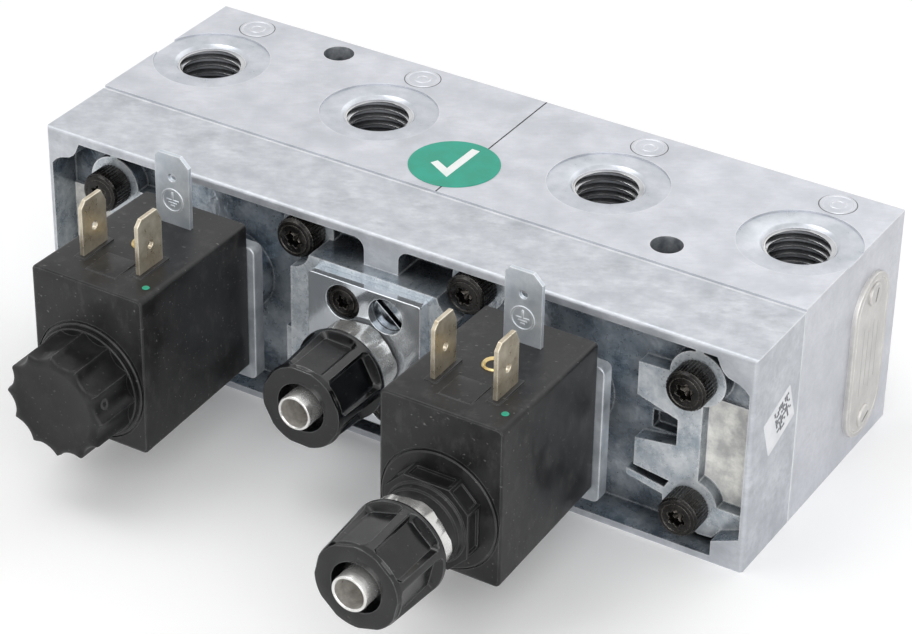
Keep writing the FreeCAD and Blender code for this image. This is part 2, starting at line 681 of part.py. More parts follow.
def eased(body, height, y):
    """Rounds the long outer edges of the block at the given face."""
    picked = []
    for edge in body.Edges:
        box = edge.BoundBox
        outer_top = abs(box.ZMin - height) < 1e-6 and abs(box.ZMax - height) < 1e-6
        at_face = abs(box.YMin - y) < 1e-6 and abs(box.YMax - y) < 1e-6
        if outer_top and at_face and box.XLength > 20:
            picked.append(edge)
        upright = box.ZLength > height - 1e-3 and box.XLength < 1e-6 and box.YLength < 1e-6
        if upright and at_face and abs(abs(box.XMin) - HALF_LENGTH) < 1e-6:
            picked.append(edge)
    return body.makeFillet(EDGE_ROUND, picked) if picked else body


def body_gasket():
    """Flat gasket between the casting and the two bodies."""
    x = HALF_LENGTH - GASKET_INSET
    sheet = block(-x, x, CASTING_REAR_Y, BODY_FRONT_Y, GASKET_INSET, CASTING_HEIGHT - GASKET_INSET)
    holes = []
    for sx, sz in SCREW_PLACES:
        holes += both_sides([rod_y(sx, sz, SCREW_HOLE_RADIUS, CASTING_REAR_Y - 1, BODY_FRONT_Y + 1)])
    holes += both_sides([rod_y(PILOT_X, PILOT_Z, PILOT_RADIUS, CASTING_REAR_Y - 1, BODY_FRONT_Y + 1)])
    return sheet.cut(Part.makeCompound(holes))


def valve_body(side):
    """Half of the rear block; side is 1 for the right half."""
    body = block(0, HALF_LENGTH, BODY_FRONT_Y, REAR_Y, 0, BODY_HEIGHT)
    holes = []
    for x in (PORT_INNER_X, PORT_OUTER_X):
        holes += [
            rod_z(x, PORT_Y, PORT_FACE_RADIUS, BODY_HEIGHT - PORT_FACE_DEPTH, BODY_HEIGHT + 1),
            Part.makeCone(PORT_RADIUS, PORT_MOUTH_RADIUS, PORT_MOUTH_RADIUS - PORT_RADIUS,
                          VEC(x, PORT_Y, BODY_HEIGHT - PORT_FACE_DEPTH - (PORT_MOUTH_RADIUS - PORT_RADIUS))),
            rod_z(x, PORT_Y, PORT_RADIUS, PORT_FLOOR_Z, BODY_HEIGHT + 1),
            rod_z(x, PORT_Y, PORT_DRILL_RADIUS, SPOOL_Z, PORT_FLOOR_Z + 1),
        ]
    hole_y = MOUNT_HOLE_Y_RIGHT if side > 0 else MOUNT_HOLE_Y_LEFT
    bore_end = BODY_FRONT_Y + SCREW_REACH + SCREW_BORE_SPARE
    holes += [
        rod_z(MOUNT_HOLE_X, hole_y, MOUNT_HOLE_RADIUS, -1, BODY_HEIGHT + 1),
        rod_x(PORT_Y, SPOOL_Z, SPOOL_BORE_RADIUS, -1, SPOOL_RECESS_END),
        rod_x(PORT_Y, SPOOL_Z, SPOOL_BORE_RADIUS - SPOOL_END_BORE_STEP, SPOOL_RECESS_END - 1, SPOOL_BORE_END),
        rod_x(PORT_Y, SPOOL_Z, SPOOL_RECESS_RADIUS, SPOOL_RECESS_START, SPOOL_RECESS_END),
        rod_y(PILOT_X, PILOT_Z, PILOT_RADIUS, BODY_FRONT_Y - 1, PORT_Y - SPOOL_BORE_RADIUS + PILOT_OVERLAP),
    ]
    for x, z in SCREW_PLACES:
        holes.append(rod_y(x, z, SCREW_SHANK_RADIUS, BODY_FRONT_Y - 1, bore_end))
    if side > 0:
        for y, z in rivet_places():
            holes.append(rod_x(y, z, RIVET_SHANK_RADIUS, HALF_LENGTH - RIVET_REACH, HALF_LENGTH + 1))
    groove = prism_y([(0, BODY_HEIGHT), (SPLIT_CHAMFER, BODY_HEIGHT), (0, BODY_HEIGHT - SPLIT_CHAMFER)],
                     BODY_FRONT_Y - 1, REAR_Y + 1)
    body = body.cut(Part.makeCompound(holes)).cut(groove)
    body = eased(body, BODY_HEIGHT, REAR_Y)
    return body if side > 0 else mirrored(body)


def rivet_places():
    """Centres of the two nameplate rivets as (y, z)."""
    return [(NAMEPLATE_Y, NAMEPLATE_BOTTOM + RIVET_INSET), (NAMEPLATE_Y, NAMEPLATE_TOP - RIVET_INSET)]


def housing_screw(x, z):
    """Socket head screw with a knurled head and a lobed socket."""
    face = RAISED_Y - SCREW_HEAD_HEIGHT
    rim = SCREW_HEAD_RADIUS - SCREW_HEAD_EDGE
    head = joined([
        cone_y(x, z, rim, SCREW_HEAD_RADIUS, face, face + SCREW_HEAD_EDGE),
        rod_y(x, z, SCREW_HEAD_RADIUS, face + SCREW_HEAD_EDGE, RAISED_Y),
        rod_y(x, z, SCREW_SHANK_RADIUS, RAISED_Y, BODY_FRONT_Y + SCREW_REACH),
    ])
    cuts = [rod_y(x, z, SOCKET_ROOT_RADIUS, face - 1, face + SOCKET_DEPTH)]
    lobes = SOCKET_ROOT_RADIUS + SOCKET_LOBE_RADIUS * SOCKET_LOBE_SHARE
    for lx, lz in around(x, z, lobes, SOCKET_LOBES, SOCKET_TURN):
        cuts.append(rod_y(lx, lz, SOCKET_LOBE_RADIUS, face - 1, face + SOCKET_DEPTH))
    return head.cut(Part.makeCompound([joined(cuts)]))


def housing_screws():
    """The eight screws of the casting."""
    screws = []
    for x, z in SCREW_PLACES:
        screws += both_sides([housing_screw(x, z)])
    return Part.makeCompound(screws)


def channel_plug():
    """Plug in the left end of the cross channel."""
    y0 = -HALF_LENGTH
    plug = rod_x(CHANNEL_Y, STEM_Z, CHANNEL_PLUG_RADIUS, y0, y0 + CHANNEL_PLUG_LENGTH)
    socket = prism_x(
        [(CHANNEL_Y + dx, z) for dx, z in hexagon(0, STEM_Z, CHANNEL_PLUG_RADIUS)],
        y0 - 1, y0 + CHANNEL_PLUG_LENGTH / 2,
    )
    return plug.cut(socket)


def base_plate(side):
    """Square plate under a coil."""
    x = side * STEM_X
    plate = rounded_plate(x - PLATE_HALF_WIDTH, x + PLATE_HALF_WIDTH, PLATE_FRONT_Y, PLATE_REAR_Y,
                          PLATE_BOTTOM, PLATE_TOP, PLATE_CORNER)
    plate = plate.cut(rod_y(x, STEM_Z, TUBE_THREAD_RADIUS, PLATE_FRONT_Y - 1, PLATE_REAR_Y + 1))
    flange_y = PLATE_FRONT_Y + TUBE_FLANGE_THICK
    return plate.cut(rod_y(x, STEM_Z, TUBE_FLANGE_RADIUS, PLATE_FRONT_Y - 1, flange_y))


def armature_tube(side):
    """Tube that guides the plunger and carries the coil."""
    x = side * STEM_X
    end = FITTING_REAR_Y if side > 0 else CAP_TUBE_END_Y
    solid = joined([
        rod_y(x, STEM_Z, TUBE_RADIUS, end, PLATE_FRONT_Y),
        rod_y(x, STEM_Z, TUBE_FLANGE_RADIUS, PLATE_FRONT_Y, PLATE_FRONT_Y + TUBE_FLANGE_THICK),
        rod_y(x, STEM_Z, TUBE_THREAD_RADIUS, PLATE_FRONT_Y + TUBE_FLANGE_THICK, TUBE_REAR_Y),
    ])
    return solid.cut(rod_y(x, STEM_Z, TUBE_BORE_RADIUS, end - 1, TUBE_REAR_Y + 1))


def valve_seat(side):
    """Seat with the nozzle that the plunger closes."""
    x = side * STEM_X
    seat = joined([
        rod_y(x, STEM_Z, SEAT_RADIUS, TUBE_REAR_Y, SEAT_REAR_Y),
        rod_y(x, STEM_Z, NOZZLE_RADIUS, NOZZLE_TIP_Y, TUBE_REAR_Y),
    ])
    seat = seat.cut(rod_y(x, STEM_Z, ORIFICE_RADIUS, NOZZLE_TIP_Y - 1, SEAT_REAR_Y + 1))
    return seat.cut(rod_y(x, STEM_Z + SIDE_HOLE_OFFSET, SIDE_HOLE_RADIUS, TUBE_REAR_Y - 1, SEAT_REAR_Y + 1))


def fixed_core(side):
    """Core that pulls the plunger; its bore lets the air out."""
    x = side * STEM_X
    core = rod_y(x, STEM_Z, TUBE_BORE_RADIUS, CORE_FRONT_Y, CORE_REAR_Y)
    return core.cut(rod_y(x, STEM_Z, CORE_BORE_RADIUS, CORE_FRONT_Y - 1, CORE_REAR_Y + 1))


def plunger(side):
    """Moving armature with two air slots and a seal pocket at each end."""
    x = side * STEM_X
    shoulder = PLUNGER_FRONT_Y + PLUNGER_NECK_LENGTH
    solid = joined([
        rod_y(x, STEM_Z, PLUNGER_NECK_RADIUS, PLUNGER_FRONT_Y, shoulder),
        rod_y(x, STEM_Z, PLUNGER_RADIUS, shoulder, PLUNGER_REAR_Y),
    ])
    floor = PLUNGER_RADIUS - PLUNGER_SLOT_DEPTH
    slots = []
    for s in (-1, 1):
        x0, x1 = sorted((x + s * floor, x + s * (PLUNGER_RADIUS + 1)))
        slots.append(block(x0, x1, shoulder - 1, PLUNGER_REAR_Y + 1, STEM_Z - PLUNGER_SLOT_WIDTH / 2,
                           STEM_Z + PLUNGER_SLOT_WIDTH / 2))
    pocket = SEAL_THICK - SEAL_PROUD
    slots += [
        rod_y(x, STEM_Z, SEAL_RADIUS, PLUNGER_REAR_Y - pocket, PLUNGER_REAR_Y + 1),
        rod_y(x, STEM_Z, SEAL_RADIUS * 0.8, PLUNGER_FRONT_Y - 1, PLUNGER_FRONT_Y + SEAL_THICK),
    ]
    return solid.cut(Part.makeCompound(slots))


def plunger_seals(side):
    """Rubber discs at the two ends of a plunger."""
    x = side * STEM_X
    pocket = SEAL_THICK - SEAL_PROUD
    return Part.makeCompound([
        rod_y(x, STEM_Z, SEAL_RADIUS, PLUNGER_REAR_Y - pocket, NOZZLE_TIP_Y),
        rod_y(x, STEM_Z, SEAL_RADIUS * 0.8, PLUNGER_FRONT_Y, PLUNGER_FRONT_Y + SEAL_THICK),
    ])


def plunger_spring(side):
    """Spring between the core and the plunger's shoulder."""
    length = PLUNGER_STROKE + PLUNGER_NECK_LENGTH
    spring = spring_z(PLUNGER_SPRING_MEAN_RADIUS, PLUNGER_SPRING_WIRE, length, PLUNGER_SPRING_TURNS)
    spring.rotate(VEC(0, 0, 0), VEC(1, 0, 0), -90)
    spring.translate(VEC(side * STEM_X, CORE_REAR_Y, STEM_Z))
    return spring


def coil(side):
    """Coil moulding with its bore, winding space and slots for the contacts."""
    x = side * STEM_X
    front = rounded_wire(x, COIL_FRONT_Y, COIL_BOTTOM, COIL_TOP, COIL_HALF_WIDTH, COIL_CORNER)
    rear = rounded_wire(x, PLATE_FRONT_Y, COIL_BOTTOM + COIL_DRAFT, COIL_TOP - COIL_DRAFT,
                        COIL_HALF_WIDTH - COIL_DRAFT * 0.7, COIL_CORNER)
    moulding = Part.makeLoft([front, rear], True, True)
    moulding = joined([moulding, rod_y(x, STEM_Z, DISC_RADIUS, DISC_FRONT_Y, COIL_FRONT_Y + 1)])
    cuts = [
        rod_y(x, STEM_Z, COIL_BORE_RADIUS, DISC_FRONT_Y - 1, PLATE_FRONT_Y + 1),
        coil_winding(side),
        rod_z(x + INSERT_SHIFT, INSERT_Y, INSERT_RADIUS, COIL_TOP - INSERT_DEPTH, COIL_TOP + 1),
        earth_plate(side, False),
    ]
    cuts += [blade(x + s * BLADE_OFFSET, False) for s in (-1, 1)]
    return moulding.cut(Part.makeCompound(cuts))


def coil_winding(side):
    """Copper winding, sealed in the moulding."""
    x = side * STEM_X
    y0 = COIL_FRONT_Y + WINDING_MARGIN
    y1 = PLATE_FRONT_Y - WINDING_MARGIN
    outer = rod_y(x, STEM_Z, WINDING_OUTER_RADIUS, y0, y1)
    return outer.cut(rod_y(x, STEM_Z, WINDING_INNER_RADIUS, y0 - 1, y1 + 1))


def blade(x, pierced=True):
    """One flat contact blade, standing across X."""
    y0 = BLADE_Y - BLADE_WIDTH / 2
    y1 = BLADE_Y + BLADE_WIDTH / 2
    top = COIL_TOP + BLADE_HEIGHT
    cut = BLADE_CHAMFER
    outline = [(y0, COIL_TOP - BLADE_ROOT), (y1, COIL_TOP - BLADE_ROOT), (y1, top - 2 * cut), (y1 - cut, top),
               (y0 + cut, top), (y0, top - cut)]
    shape = prism_x(outline, x - BLADE_THICK / 2, x + BLADE_THICK / 2)
    if pierced:
        shape = shape.cut(rod_x(BLADE_Y, COIL_TOP + BLADE_HOLE_HEIGHT, BLADE_HOLE_RADIUS, x - 1, x + 1))
    return shape


def coil_blades(side):
    """The two contact blades of a coil."""
    return Part.makeCompound([blade(side * STEM_X + s * BLADE_OFFSET) for s in (-1, 1)])


def earth_plate(side, pierced=True):
    """Earth tab that stands up at the back of a coil."""
    x = side * STEM_X + TAB_SHIFT
    x0 = x - TAB_WIDTH / 2
    x1 = x + TAB_WIDTH / 2
    top = COIL_TOP + TAB_HEIGHT
    y0 = TAB_Y - TAB_THICK / 2
    y1 = TAB_Y + TAB_THICK / 2
    outline = [
        (x0, COIL_TOP - TAB_ROOT), (x1, COIL_TOP - TAB_ROOT), (x1, top - TAB_CORNER_RIGHT),
        (x1 - TAB_CORNER_RIGHT, top), (x0 + TAB_CORNER_LEFT, top), (x0, top - TAB_CORNER_LEFT),
    ]
    shape = prism_y(outline, y0, y1)
    if pierced:
        shape = shape.cut(rod_y(x, COIL_TOP + TAB_HOLE_HEIGHT, TAB_HOLE_RADIUS, y0 - 1, y1 + 1))
    return shape


def terminal_insert(side):
    """Threaded brass insert for the plug's screw."""
    x = side * STEM_X + INSERT_SHIFT
    insert = rod_z(x, INSERT_Y, INSERT_RADIUS, COIL_TOP - INSERT_DEPTH, COIL_TOP + INSERT_PROUD)
    return insert.cut(rod_z(x, INSERT_Y, INSERT_HOLE_RADIUS, COIL_TOP - INSERT_DEPTH + 1, COIL_TOP + 1))


def cap_nut():
    """Vented cap nut with twelve ridges."""
    x = -STEM_X
    flange_front = DISC_FRONT_Y - CAP_FLANGE_THICK
    grip = rod_y(x, STEM_Z, CAP_TIP_RADIUS, CAP_FRONT_Y, flange_front)
    scallops = [
        rod_y(cx, cz, CAP_SCALLOP_RADIUS, CAP_FRONT_Y - 1, flange_front)
        for cx, cz in around(x, STEM_Z, CAP_SCALLOP_OFFSET, CAP_RIDGES, 180.0 / CAP_RIDGES)
    ]
    flange = rod_y(x, STEM_Z, CAP_FLANGE_RADIUS, flange_front, DISC_FRONT_Y)
    thread_y = DISC_FRONT_Y - CAP_THREAD_DEPTH
    cap = joined([grip.cut(Part.makeCompound(scallops)), flange])
    cap = cap.cut(rod_y(x, STEM_Z, TUBE_RADIUS + TURN_CLEARANCE, thread_y, DISC_FRONT_Y + 1))
    room_y = DISC_FRONT_Y - CAP_ROOM_DEPTH
    cap = cap.cut(rod_y(x, STEM_Z, CAP_ROOM_RADIUS, room_y, DISC_FRONT_Y))
    turn = math.radians(CAP_VENT_ANGLE)
    way = VEC(math.cos(turn), 0, math.sin(turn))
    vent_y = (room_y + thread_y) / 2
    return cap.cut(Part.makeCylinder(CAP_VENT_RADIUS, CAP_TIP_RADIUS + 1, VEC(x, vent_y, STEM_Z), way))


def coil_nut():
    """Nut with cut corners and a neck, over the right stem."""
    x = STEM_X
    half = NUT_ACROSS / 2
    flat = NUT_FLAT / 2
    corners = [
        (half, flat), (flat, half), (-flat, half), (-half, flat), (-half, -flat), (-flat, -half),
        (flat, -half), (half, -flat),
    ]
    nut = joined([
        prism_y([(x + dx, STEM_Z + dz) for dx, dz in corners], NUT_FRONT_Y, DISC_FRONT_Y),
        cone_y(x, STEM_Z, NECK_FRONT_RADIUS, NECK_REAR_RADIUS, NECK_FRONT_Y, NUT_FRONT_Y),
    ])
    y0 = NUT_FRONT_Y + NUT_PANEL_MARGIN
    y1 = DISC_FRONT_Y - NUT_PANEL_MARGIN
    panel = flat - NUT_PANEL_MARGIN
    cuts = [rod_y(x, STEM_Z, TUBE_RADIUS + TURN_CLEARANCE, NECK_FRONT_Y - 1, DISC_FRONT_Y + 1)]
    for turn in range(4):
        cut = block(x + half - NUT_PANEL_DEPTH, x + half + 1, y0, y1, STEM_Z - panel, STEM_Z + panel)
        cut.rotate(VEC(x, 0, STEM_Z), VEC(0, 1, 0), 90 * turn)
        cuts.append(cut)
    return nut.cut(Part.makeCompound(cuts))


def fitting(x, rear_y, stub_radius, stub_length, body_length, stub_bore):
    """Tube fitting body: stub, hexagon, thread and spigot in one piece."""
    front = rear_y - body_length
    thread_front = front - FITTING_THREAD_LENGTH
    tip = front - UNION_LENGTH - SPIGOT_PROUD + FITTING_GAP
    hexa = prism_y(hexagon(x, STEM_Z, FITTING_HEX_ACROSS, FITTING_TURN), front, rear_y)
    hexa = hexa.common(rod_y(x, STEM_Z, FITTING_BODY_RADIUS, front, rear_y))
    solid = joined([
        hexa,
        rod_y(x, STEM_Z, stub_radius, rear_y, rear_y + stub_length),
        rod_y(x, STEM_Z, FITTING_THREAD_RADIUS, thread_front, front),
        rod_y(x, STEM_Z, SPIGOT_RADIUS, tip, thread_front),
    ])
    solid = solid.cut(rod_y(x, STEM_Z, SPIGOT_BORE_RADIUS, tip - 1, thread_front))
    return solid.cut(rod_y(x, STEM_Z, stub_bore, thread_front - 1, rear_y + stub_length + 1))


def exhaust_fitting():
    """Fitting in the end of the right stem."""
    return fitting(
        STEM_X, FITTING_REAR_Y, TUBE_BORE_RADIUS, FITTING_STUB, FITTING_BODY_LENGTH, EXHAUST_BORE_RADIUS,
    )


def control_fitting():
    """Fitting in the adapter plate."""
    rear = PLATE_FRONT_Y - CONTROL_RING_THICK
    stub = CONTROL_STUB_LENGTH + CONTROL_RING_THICK
    return fitting(0, rear, CONTROL_STUB_RADIUS, stub, CONTROL_BODY_LENGTH, EXHAUST_BORE_RADIUS)


def control_seal():
    """Seal ring under the control fitting."""
    ring = rod_y(0, STEM_Z, CONTROL_RING_RADIUS, PLATE_FRONT_Y - CONTROL_RING_THICK, PLATE_FRONT_Y)
    return ring.cut(rod_y(0, STEM_Z, CONTROL_STUB_RADIUS, PLATE_FRONT_Y - 2, PLATE_FRONT_Y + 1))


def union_nut(x, rear_y):
    """Union nut with a round collar and six panelled flats."""
    face = rear_y - UNION_LENGTH
    ring_rear = face + UNION_RING_LENGTH
    collar_front = rear_y - UNION_COLLAR_LENGTH
    rim = (UNION_COLLAR_RADIUS - UNION_FACE_RADIUS) / 2
    grip_front = face + UNION_RING_LENGTH / 2
    body = prism_y(hexagon(x, STEM_Z, UNION_HEX_ACROSS, UNION_TURN), grip_front, collar_front + rim)
    body = body.common(rod_y(x, STEM_Z, UNION_CORNER_RADIUS, grip_front, collar_front + rim))
    edge = UNION_FACE_EDGE
    nut = joined([
        cone_y(x, STEM_Z, UNION_FACE_RADIUS - edge, UNION_FACE_RADIUS, face, face + edge),
        rod_y(x, STEM_Z, UNION_FACE_RADIUS, face + edge, ring_rear),
        body,
        cone_y(x, STEM_Z, UNION_COLLAR_RADIUS - rim, UNION_COLLAR_RADIUS, collar_front, collar_front + rim),
        rod_y(x, STEM_Z, UNION_COLLAR_RADIUS, collar_front + rim, rear_y - rim),
        cone_y(x, STEM_Z, UNION_COLLAR_RADIUS, UNION_COLLAR_RADIUS - rim, rear_y - rim, rear_y),
    ])
    y0 = ring_rear
    y1 = collar_front - UNION_PANEL_MARGIN / 2
    half = UNION_HEX_ACROSS / 2
    width = half * math.tan(math.pi / 6) - UNION_PANEL_MARGIN
    cuts = [
        rod_y(x, STEM_Z, UNION_HOLE_RADIUS, face - 1, rear_y + 1),
        rod_y(x, STEM_Z, FITTING_THREAD_RADIUS + TURN_CLEARANCE, rear_y - UNION_THREAD_DEPTH, rear_y + 1),
    ]
    for i in range(6):
        cut = block(x + half - UNION_PANEL_DEPTH, x + half + 2, y0, y1, STEM_Z - width, STEM_Z + width)
        cut.rotate(VEC(x, 0, STEM_Z), VEC(0, 1, 0), 30 - UNION_TURN + 60 * i)
        cuts.append(cut)
    return nut.cut(Part.makeCompound(cuts))


def union_nut_right():
    """Union nut of the exhaust fitting."""
    return union_nut(STEM_X, FITTING_REAR_Y - FITTING_BODY_LENGTH - FITTING_GAP)


def union_nut_middle():
    """Union nut of the control fitting."""
    return union_nut(0, PLATE_FRONT_Y - CONTROL_RING_THICK - CONTROL_BODY_LENGTH - FITTING_GAP)


def adapter_plate():
    """Plate that carries the control fitting and the throttle."""
    plate = rounded_plate(-ADAPTER_HALF_WIDTH, ADAPTER_HALF_WIDTH, PLATE_FRONT_Y, PLATE_REAR_Y,
                          PLATE_BOTTOM, ADAPTER_TOP, PLATE_CORNER / 2)
    front = PLATE_FRONT_Y - 1
    holes = [
        rod_y(0, STEM_Z, CONTROL_STUB_RADIUS, front, PLATE_REAR_Y + 1),
        rod_y(THROTTLE_X, THROTTLE_Z, THROTTLE_BORE_RADIUS, front, PLATE_REAR_Y + 1),
    ]
    for x, z in ADAPTER_SCREW_PLACES:
        holes += [
            rod_y(x, z, ADAPTER_HEAD_RADIUS, front, PLATE_FRONT_Y + ADAPTER_HEAD_HEIGHT),
            rod_y(x, z, ADAPTER_SHANK_RADIUS, front, PLATE_REAR_Y + 1),
        ]
    return plate.cut(Part.makeCompound(holes))


def adapter_screws():
    """Two flush screws of the adapter plate."""
    face = PLATE_FRONT_Y + ADAPTER_HEAD_SUNK
    under = PLATE_FRONT_Y + ADAPTER_HEAD_HEIGHT
    floor = face + ADAPTER_SOCKET_DEPTH
    tip = PLATE_REAR_Y + ADAPTER_SCREW_REACH - ADAPTER_TIP_GAP
    screws = []
    for x, z in ADAPTER_SCREW_PLACES:
        screw = joined([
            rod_y(x, z, ADAPTER_HEAD_RADIUS, face, under),
            rod_y(x, z, ADAPTER_SHANK_RADIUS, under, tip),
        ])
        sockets = [rod_y(x, z, ADAPTER_SOCKET_RADIUS, face - 1, floor)]
        for lx, lz in around(x, z, ADAPTER_SOCKET_RADIUS + ADAPTER_LOBE_SHIFT, SOCKET_LOBES, SOCKET_TURN):
            sockets.append(rod_y(lx, lz, ADAPTER_LOBE_RADIUS, face - 1, floor))
        screws.append(screw.cut(joined(sockets)))
    return Part.makeCompound(screws)


def throttle_screw():
    """Slotted needle screw that sets the control flow."""
    radius = THROTTLE_BORE_RADIUS - THROTTLE_CLEARANCE
    y0 = PLATE_FRONT_Y + THROTTLE_SUNK
    y1 = y0 + THROTTLE_BODY_LENGTH
    y2 = y1 + THROTTLE_NECK_LENGTH
    tip = y2 + THROTTLE_NEEDLE_LENGTH
    screw = joined([
        rod_y(THROTTLE_X, THROTTLE_Z, radius, y0, y1),
        rod_y(THROTTLE_X, THROTTLE_Z, THROTTLE_NECK_RADIUS, y1, y2),
        cone_y(THROTTLE_X, THROTTLE_Z, THROTTLE_NECK_RADIUS, THROTTLE_NEEDLE_TIP, y2, tip),
    ])
    half = THROTTLE_SLOT_WIDTH / 2
    slot = block(THROTTLE_X - radius - 1, THROTTLE_X + radius + 1, y0 - 1, y0 + THROTTLE_SLOT_DEPTH,
                 THROTTLE_Z - half, THROTTLE_Z + half)
    slot.rotate(VEC(THROTTLE_X, 0, THROTTLE_Z), VEC(0, 1, 0), THROTTLE_SLOT_TURN)
    return screw.cut(slot)


def spool(side):
    """Spool that opens the way between the two ports of one half."""
    pieces = [
        rod_x(PORT_Y, SPOOL_Z, SPOOL_NUB_RADIUS, PLUG_LENGTH + SPOOL_REST_GAP, LAND_A_START),
        rod_x(PORT_Y, SPOOL_Z, SPOOL_RADIUS, LAND_A_START, LAND_A_END),
        rod_x(PORT_Y, SPOOL_Z, SPOOL_STEM_RADIUS, LAND_A_END, LAND_B_START),
        rod_x(PORT_Y, SPOOL_Z, SPOOL_RADIUS, LAND_B_START, LAND_B_END),
        rod_x(PORT_Y, SPOOL_Z, SPOOL_STEM_RADIUS, LAND_B_END, SPOOL_TAIL_END),
    ]
    shape = joined(pieces)
    seal = SPOOL_BORE_RADIUS - SPOOL_CLEARANCE / 2
    for x in (RING_A_X, RING_B_X):
        shape = shape.cut(ring_groove(PORT_Y, SPOOL_Z, x, seal, RING_SECTION))
    return shape if side > 0 else mirrored(shape)


def spool_rings(side):
    """Sealing rings on the lands of a spool."""
    rings = Part.makeCompound([
        ring_x(PORT_Y, SPOOL_Z, RING_A_X, SPOOL_BORE_RADIUS - SPOOL_CLEARANCE / 2, RING_SECTION),
        ring_x(PORT_Y, SPOOL_Z, RING_B_X, SPOOL_BORE_RADIUS - SPOOL_CLEARANCE / 2, RING_SECTION),
    ])
    return rings if side > 0 else mirrored(rings)


def spool_spring(side):
    """Spring that closes the spool."""
    length = SPOOL_BORE_END - LAND_B_END
    spring = spring_z(SPOOL_SPRING_MEAN_RADIUS, SPOOL_SPRING_WIRE, length, SPOOL_SPRING_TURNS)
    spring.rotate(VEC(0, 0, 0), VEC(0, 1, 0), 90)
    spring.translate(VEC(LAND_B_END, PORT_Y, SPOOL_Z))
    return spring if side > 0 else mirrored(spring)


def end_plug(side):
    """Plug that closes the spool bore at the split."""
    plug = rod_x(PORT_Y, SPOOL_Z, SPOOL_BORE_RADIUS, 0, PLUG_LENGTH)
    plug = plug.cut(rod_x(PORT_Y, SPOOL_Z, PLUG_SOCKET_RADIUS, -1, PLUG_SOCKET_DEPTH))
    plug = plug.cut(ring_groove(PORT_Y, SPOOL_Z, PLUG_RING_X, SPOOL_BORE_RADIUS, RING_SECTION))
    return plug if side > 0 else mirrored(plug)


def plug_ring(side):
    """Sealing ring of an end plug."""
    ring = ring_x(PORT_Y, SPOOL_Z, PLUG_RING_X, SPOOL_BORE_RADIUS - SPOOL_CLEARANCE / 2, RING_SECTION)
    return ring if side > 0 else mirrored(ring)


def nameplate():
    """Bare nameplate on the right end."""
    radius = NAMEPLATE_WIDTH / 2
    x0 = HALF_LENGTH
    x1 = x0 + NAMEPLATE_THICK
    low = NAMEPLATE_BOTTOM + radius
    high = NAMEPLATE_TOP - radius
    plate = joined([
        block(x0, x1, NAMEPLATE_Y - radius, NAMEPLATE_Y + radius, low, high),
        rod_x(NAMEPLATE_Y, low, radius, x0, x1),
        rod_x(NAMEPLATE_Y, high, radius, x0, x1),
    ])
    for y, z in rivet_places():
        plate = plate.cut(rod_x(y, z, RIVET_SHANK_RADIUS, x0 - 1, x1 + 1))
    return plate


def nameplate_rivets():
    """Two slotted pins that hold the nameplate."""
    pins = []
    x1 = HALF_LENGTH + NAMEPLATE_THICK
    for y, z in rivet_places():
        pin = joined([
            rod_x(y, z, RIVET_SHANK_RADIUS, HALF_LENGTH - RIVET_REACH, x1),
            rod_x(y, z, RIVET_HEAD_RADIUS, x1, x1 + RIVET_HEAD_HEIGHT),
        ])
        half = RIVET_SLOT_WIDTH / 2
        slot = block(x1 + RIVET_HEAD_HEIGHT / 2, x1 + 2, y - 3, y + 3, z - half, z + half)
        pins.append(pin.cut(slot))
    return Part.makeCompound(pins)


def test_sticker():
    """Round sticker over the split on the top face."""
    return rod_z(STICKER_X, STICKER_Y, STICKER_RADIUS, BODY_HEIGHT, BODY_HEIGHT + STICKER_THICK)


def code_label():
    """Small blank label on the right end of the casting."""
    half_length = LABEL_LENGTH / 2
    half_height = LABEL_HEIGHT / 2
    label = block(HALF_LENGTH, HALF_LENGTH + LABEL_THICK, LABEL_Y - half_length, LABEL_Y + half_length,
                  LABEL_Z - half_height, LABEL_Z + half_height)
    label.rotate(VEC(0, LABEL_Y, LABEL_Z), VEC(1, 0, 0), LABEL_TURN)
    return label


SINGLE = {
    "front_casting": front_casting,
    "body_gasket": body_gasket,
    "housing_screws": housing_screws,
    "channel_plug": channel_plug,
    "cap_nut": cap_nut,
    "coil_nut": coil_nut,
    "exhaust_fitting": exhaust_fitting,
    "union_nut_right": union_nut_right,
    "adapter_plate": adapter_plate,
    "adapter_screws": adapter_screws,
    "throttle_screw": throttle_screw,
    "control_fitting": control_fitting,
    "control_seal": control_seal,
    "union_nut_middle": union_nut_middle,
    "nameplate": nameplate,
    "nameplate_rivets": nameplate_rivets,
    "test_sticker": test_sticker,
    "code_label": code_label,
}
PAIRED = {
    "valve_body": valve_body,
    "base_plate": base_plate,
    "armature_tube": armature_tube,
    "valve_seat": valve_seat,
    "fixed_core": fixed_core,
    "plunger": plunger,
    "plunger_seals": plunger_seals,
    "plunger_spring": plunger_spring,
    "coil": coil,
    "coil_winding": coil_winding,
    "coil_blades": coil_blades,
    "earth_tab": earth_plate,
    "terminal_insert": terminal_insert,
    "spool": spool,
    "spool_rings": spool_rings,
    "spool_spring": spool_spring,
    "end_plug": end_plug,
    "plug_ring": plug_ring,
}


def main():
    """Builds every piece and writes one STEP file for each."""
    os.makedirs("parts", exist_ok=True)
    shapes = {name: make() for name, make in SINGLE.items()}
    for name, make in PAIRED.items():
        shapes[name + "_left"] = make(-1)
        shapes[name + "_right"] = make(1)
    for name, shape in shapes.items():
        if shape.isNull() or not shape.isValid() or shape.Volume <= 0:
            raise ValueError("bad shape: " + name)
        shape.exportStep(os.path.join("parts", name + ".step"))


main()
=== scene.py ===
"""Looks of a two-solenoid pneumatic valve block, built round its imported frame.

Every size is in millimetres in the valve's own frame: X along the block, Y from the
coils to the back, Z up. A turned piece is modelled along its own Z axis and then turned
to face the way it does on the valve. Each finished mesh is scaled to metres once.
"""
import json
import logging
import math
import random
from dataclasses import dataclass
from enum import Enum
from functools import cached_property
from typing import Callable, ClassVar, Iterable, Mapping, Sequence

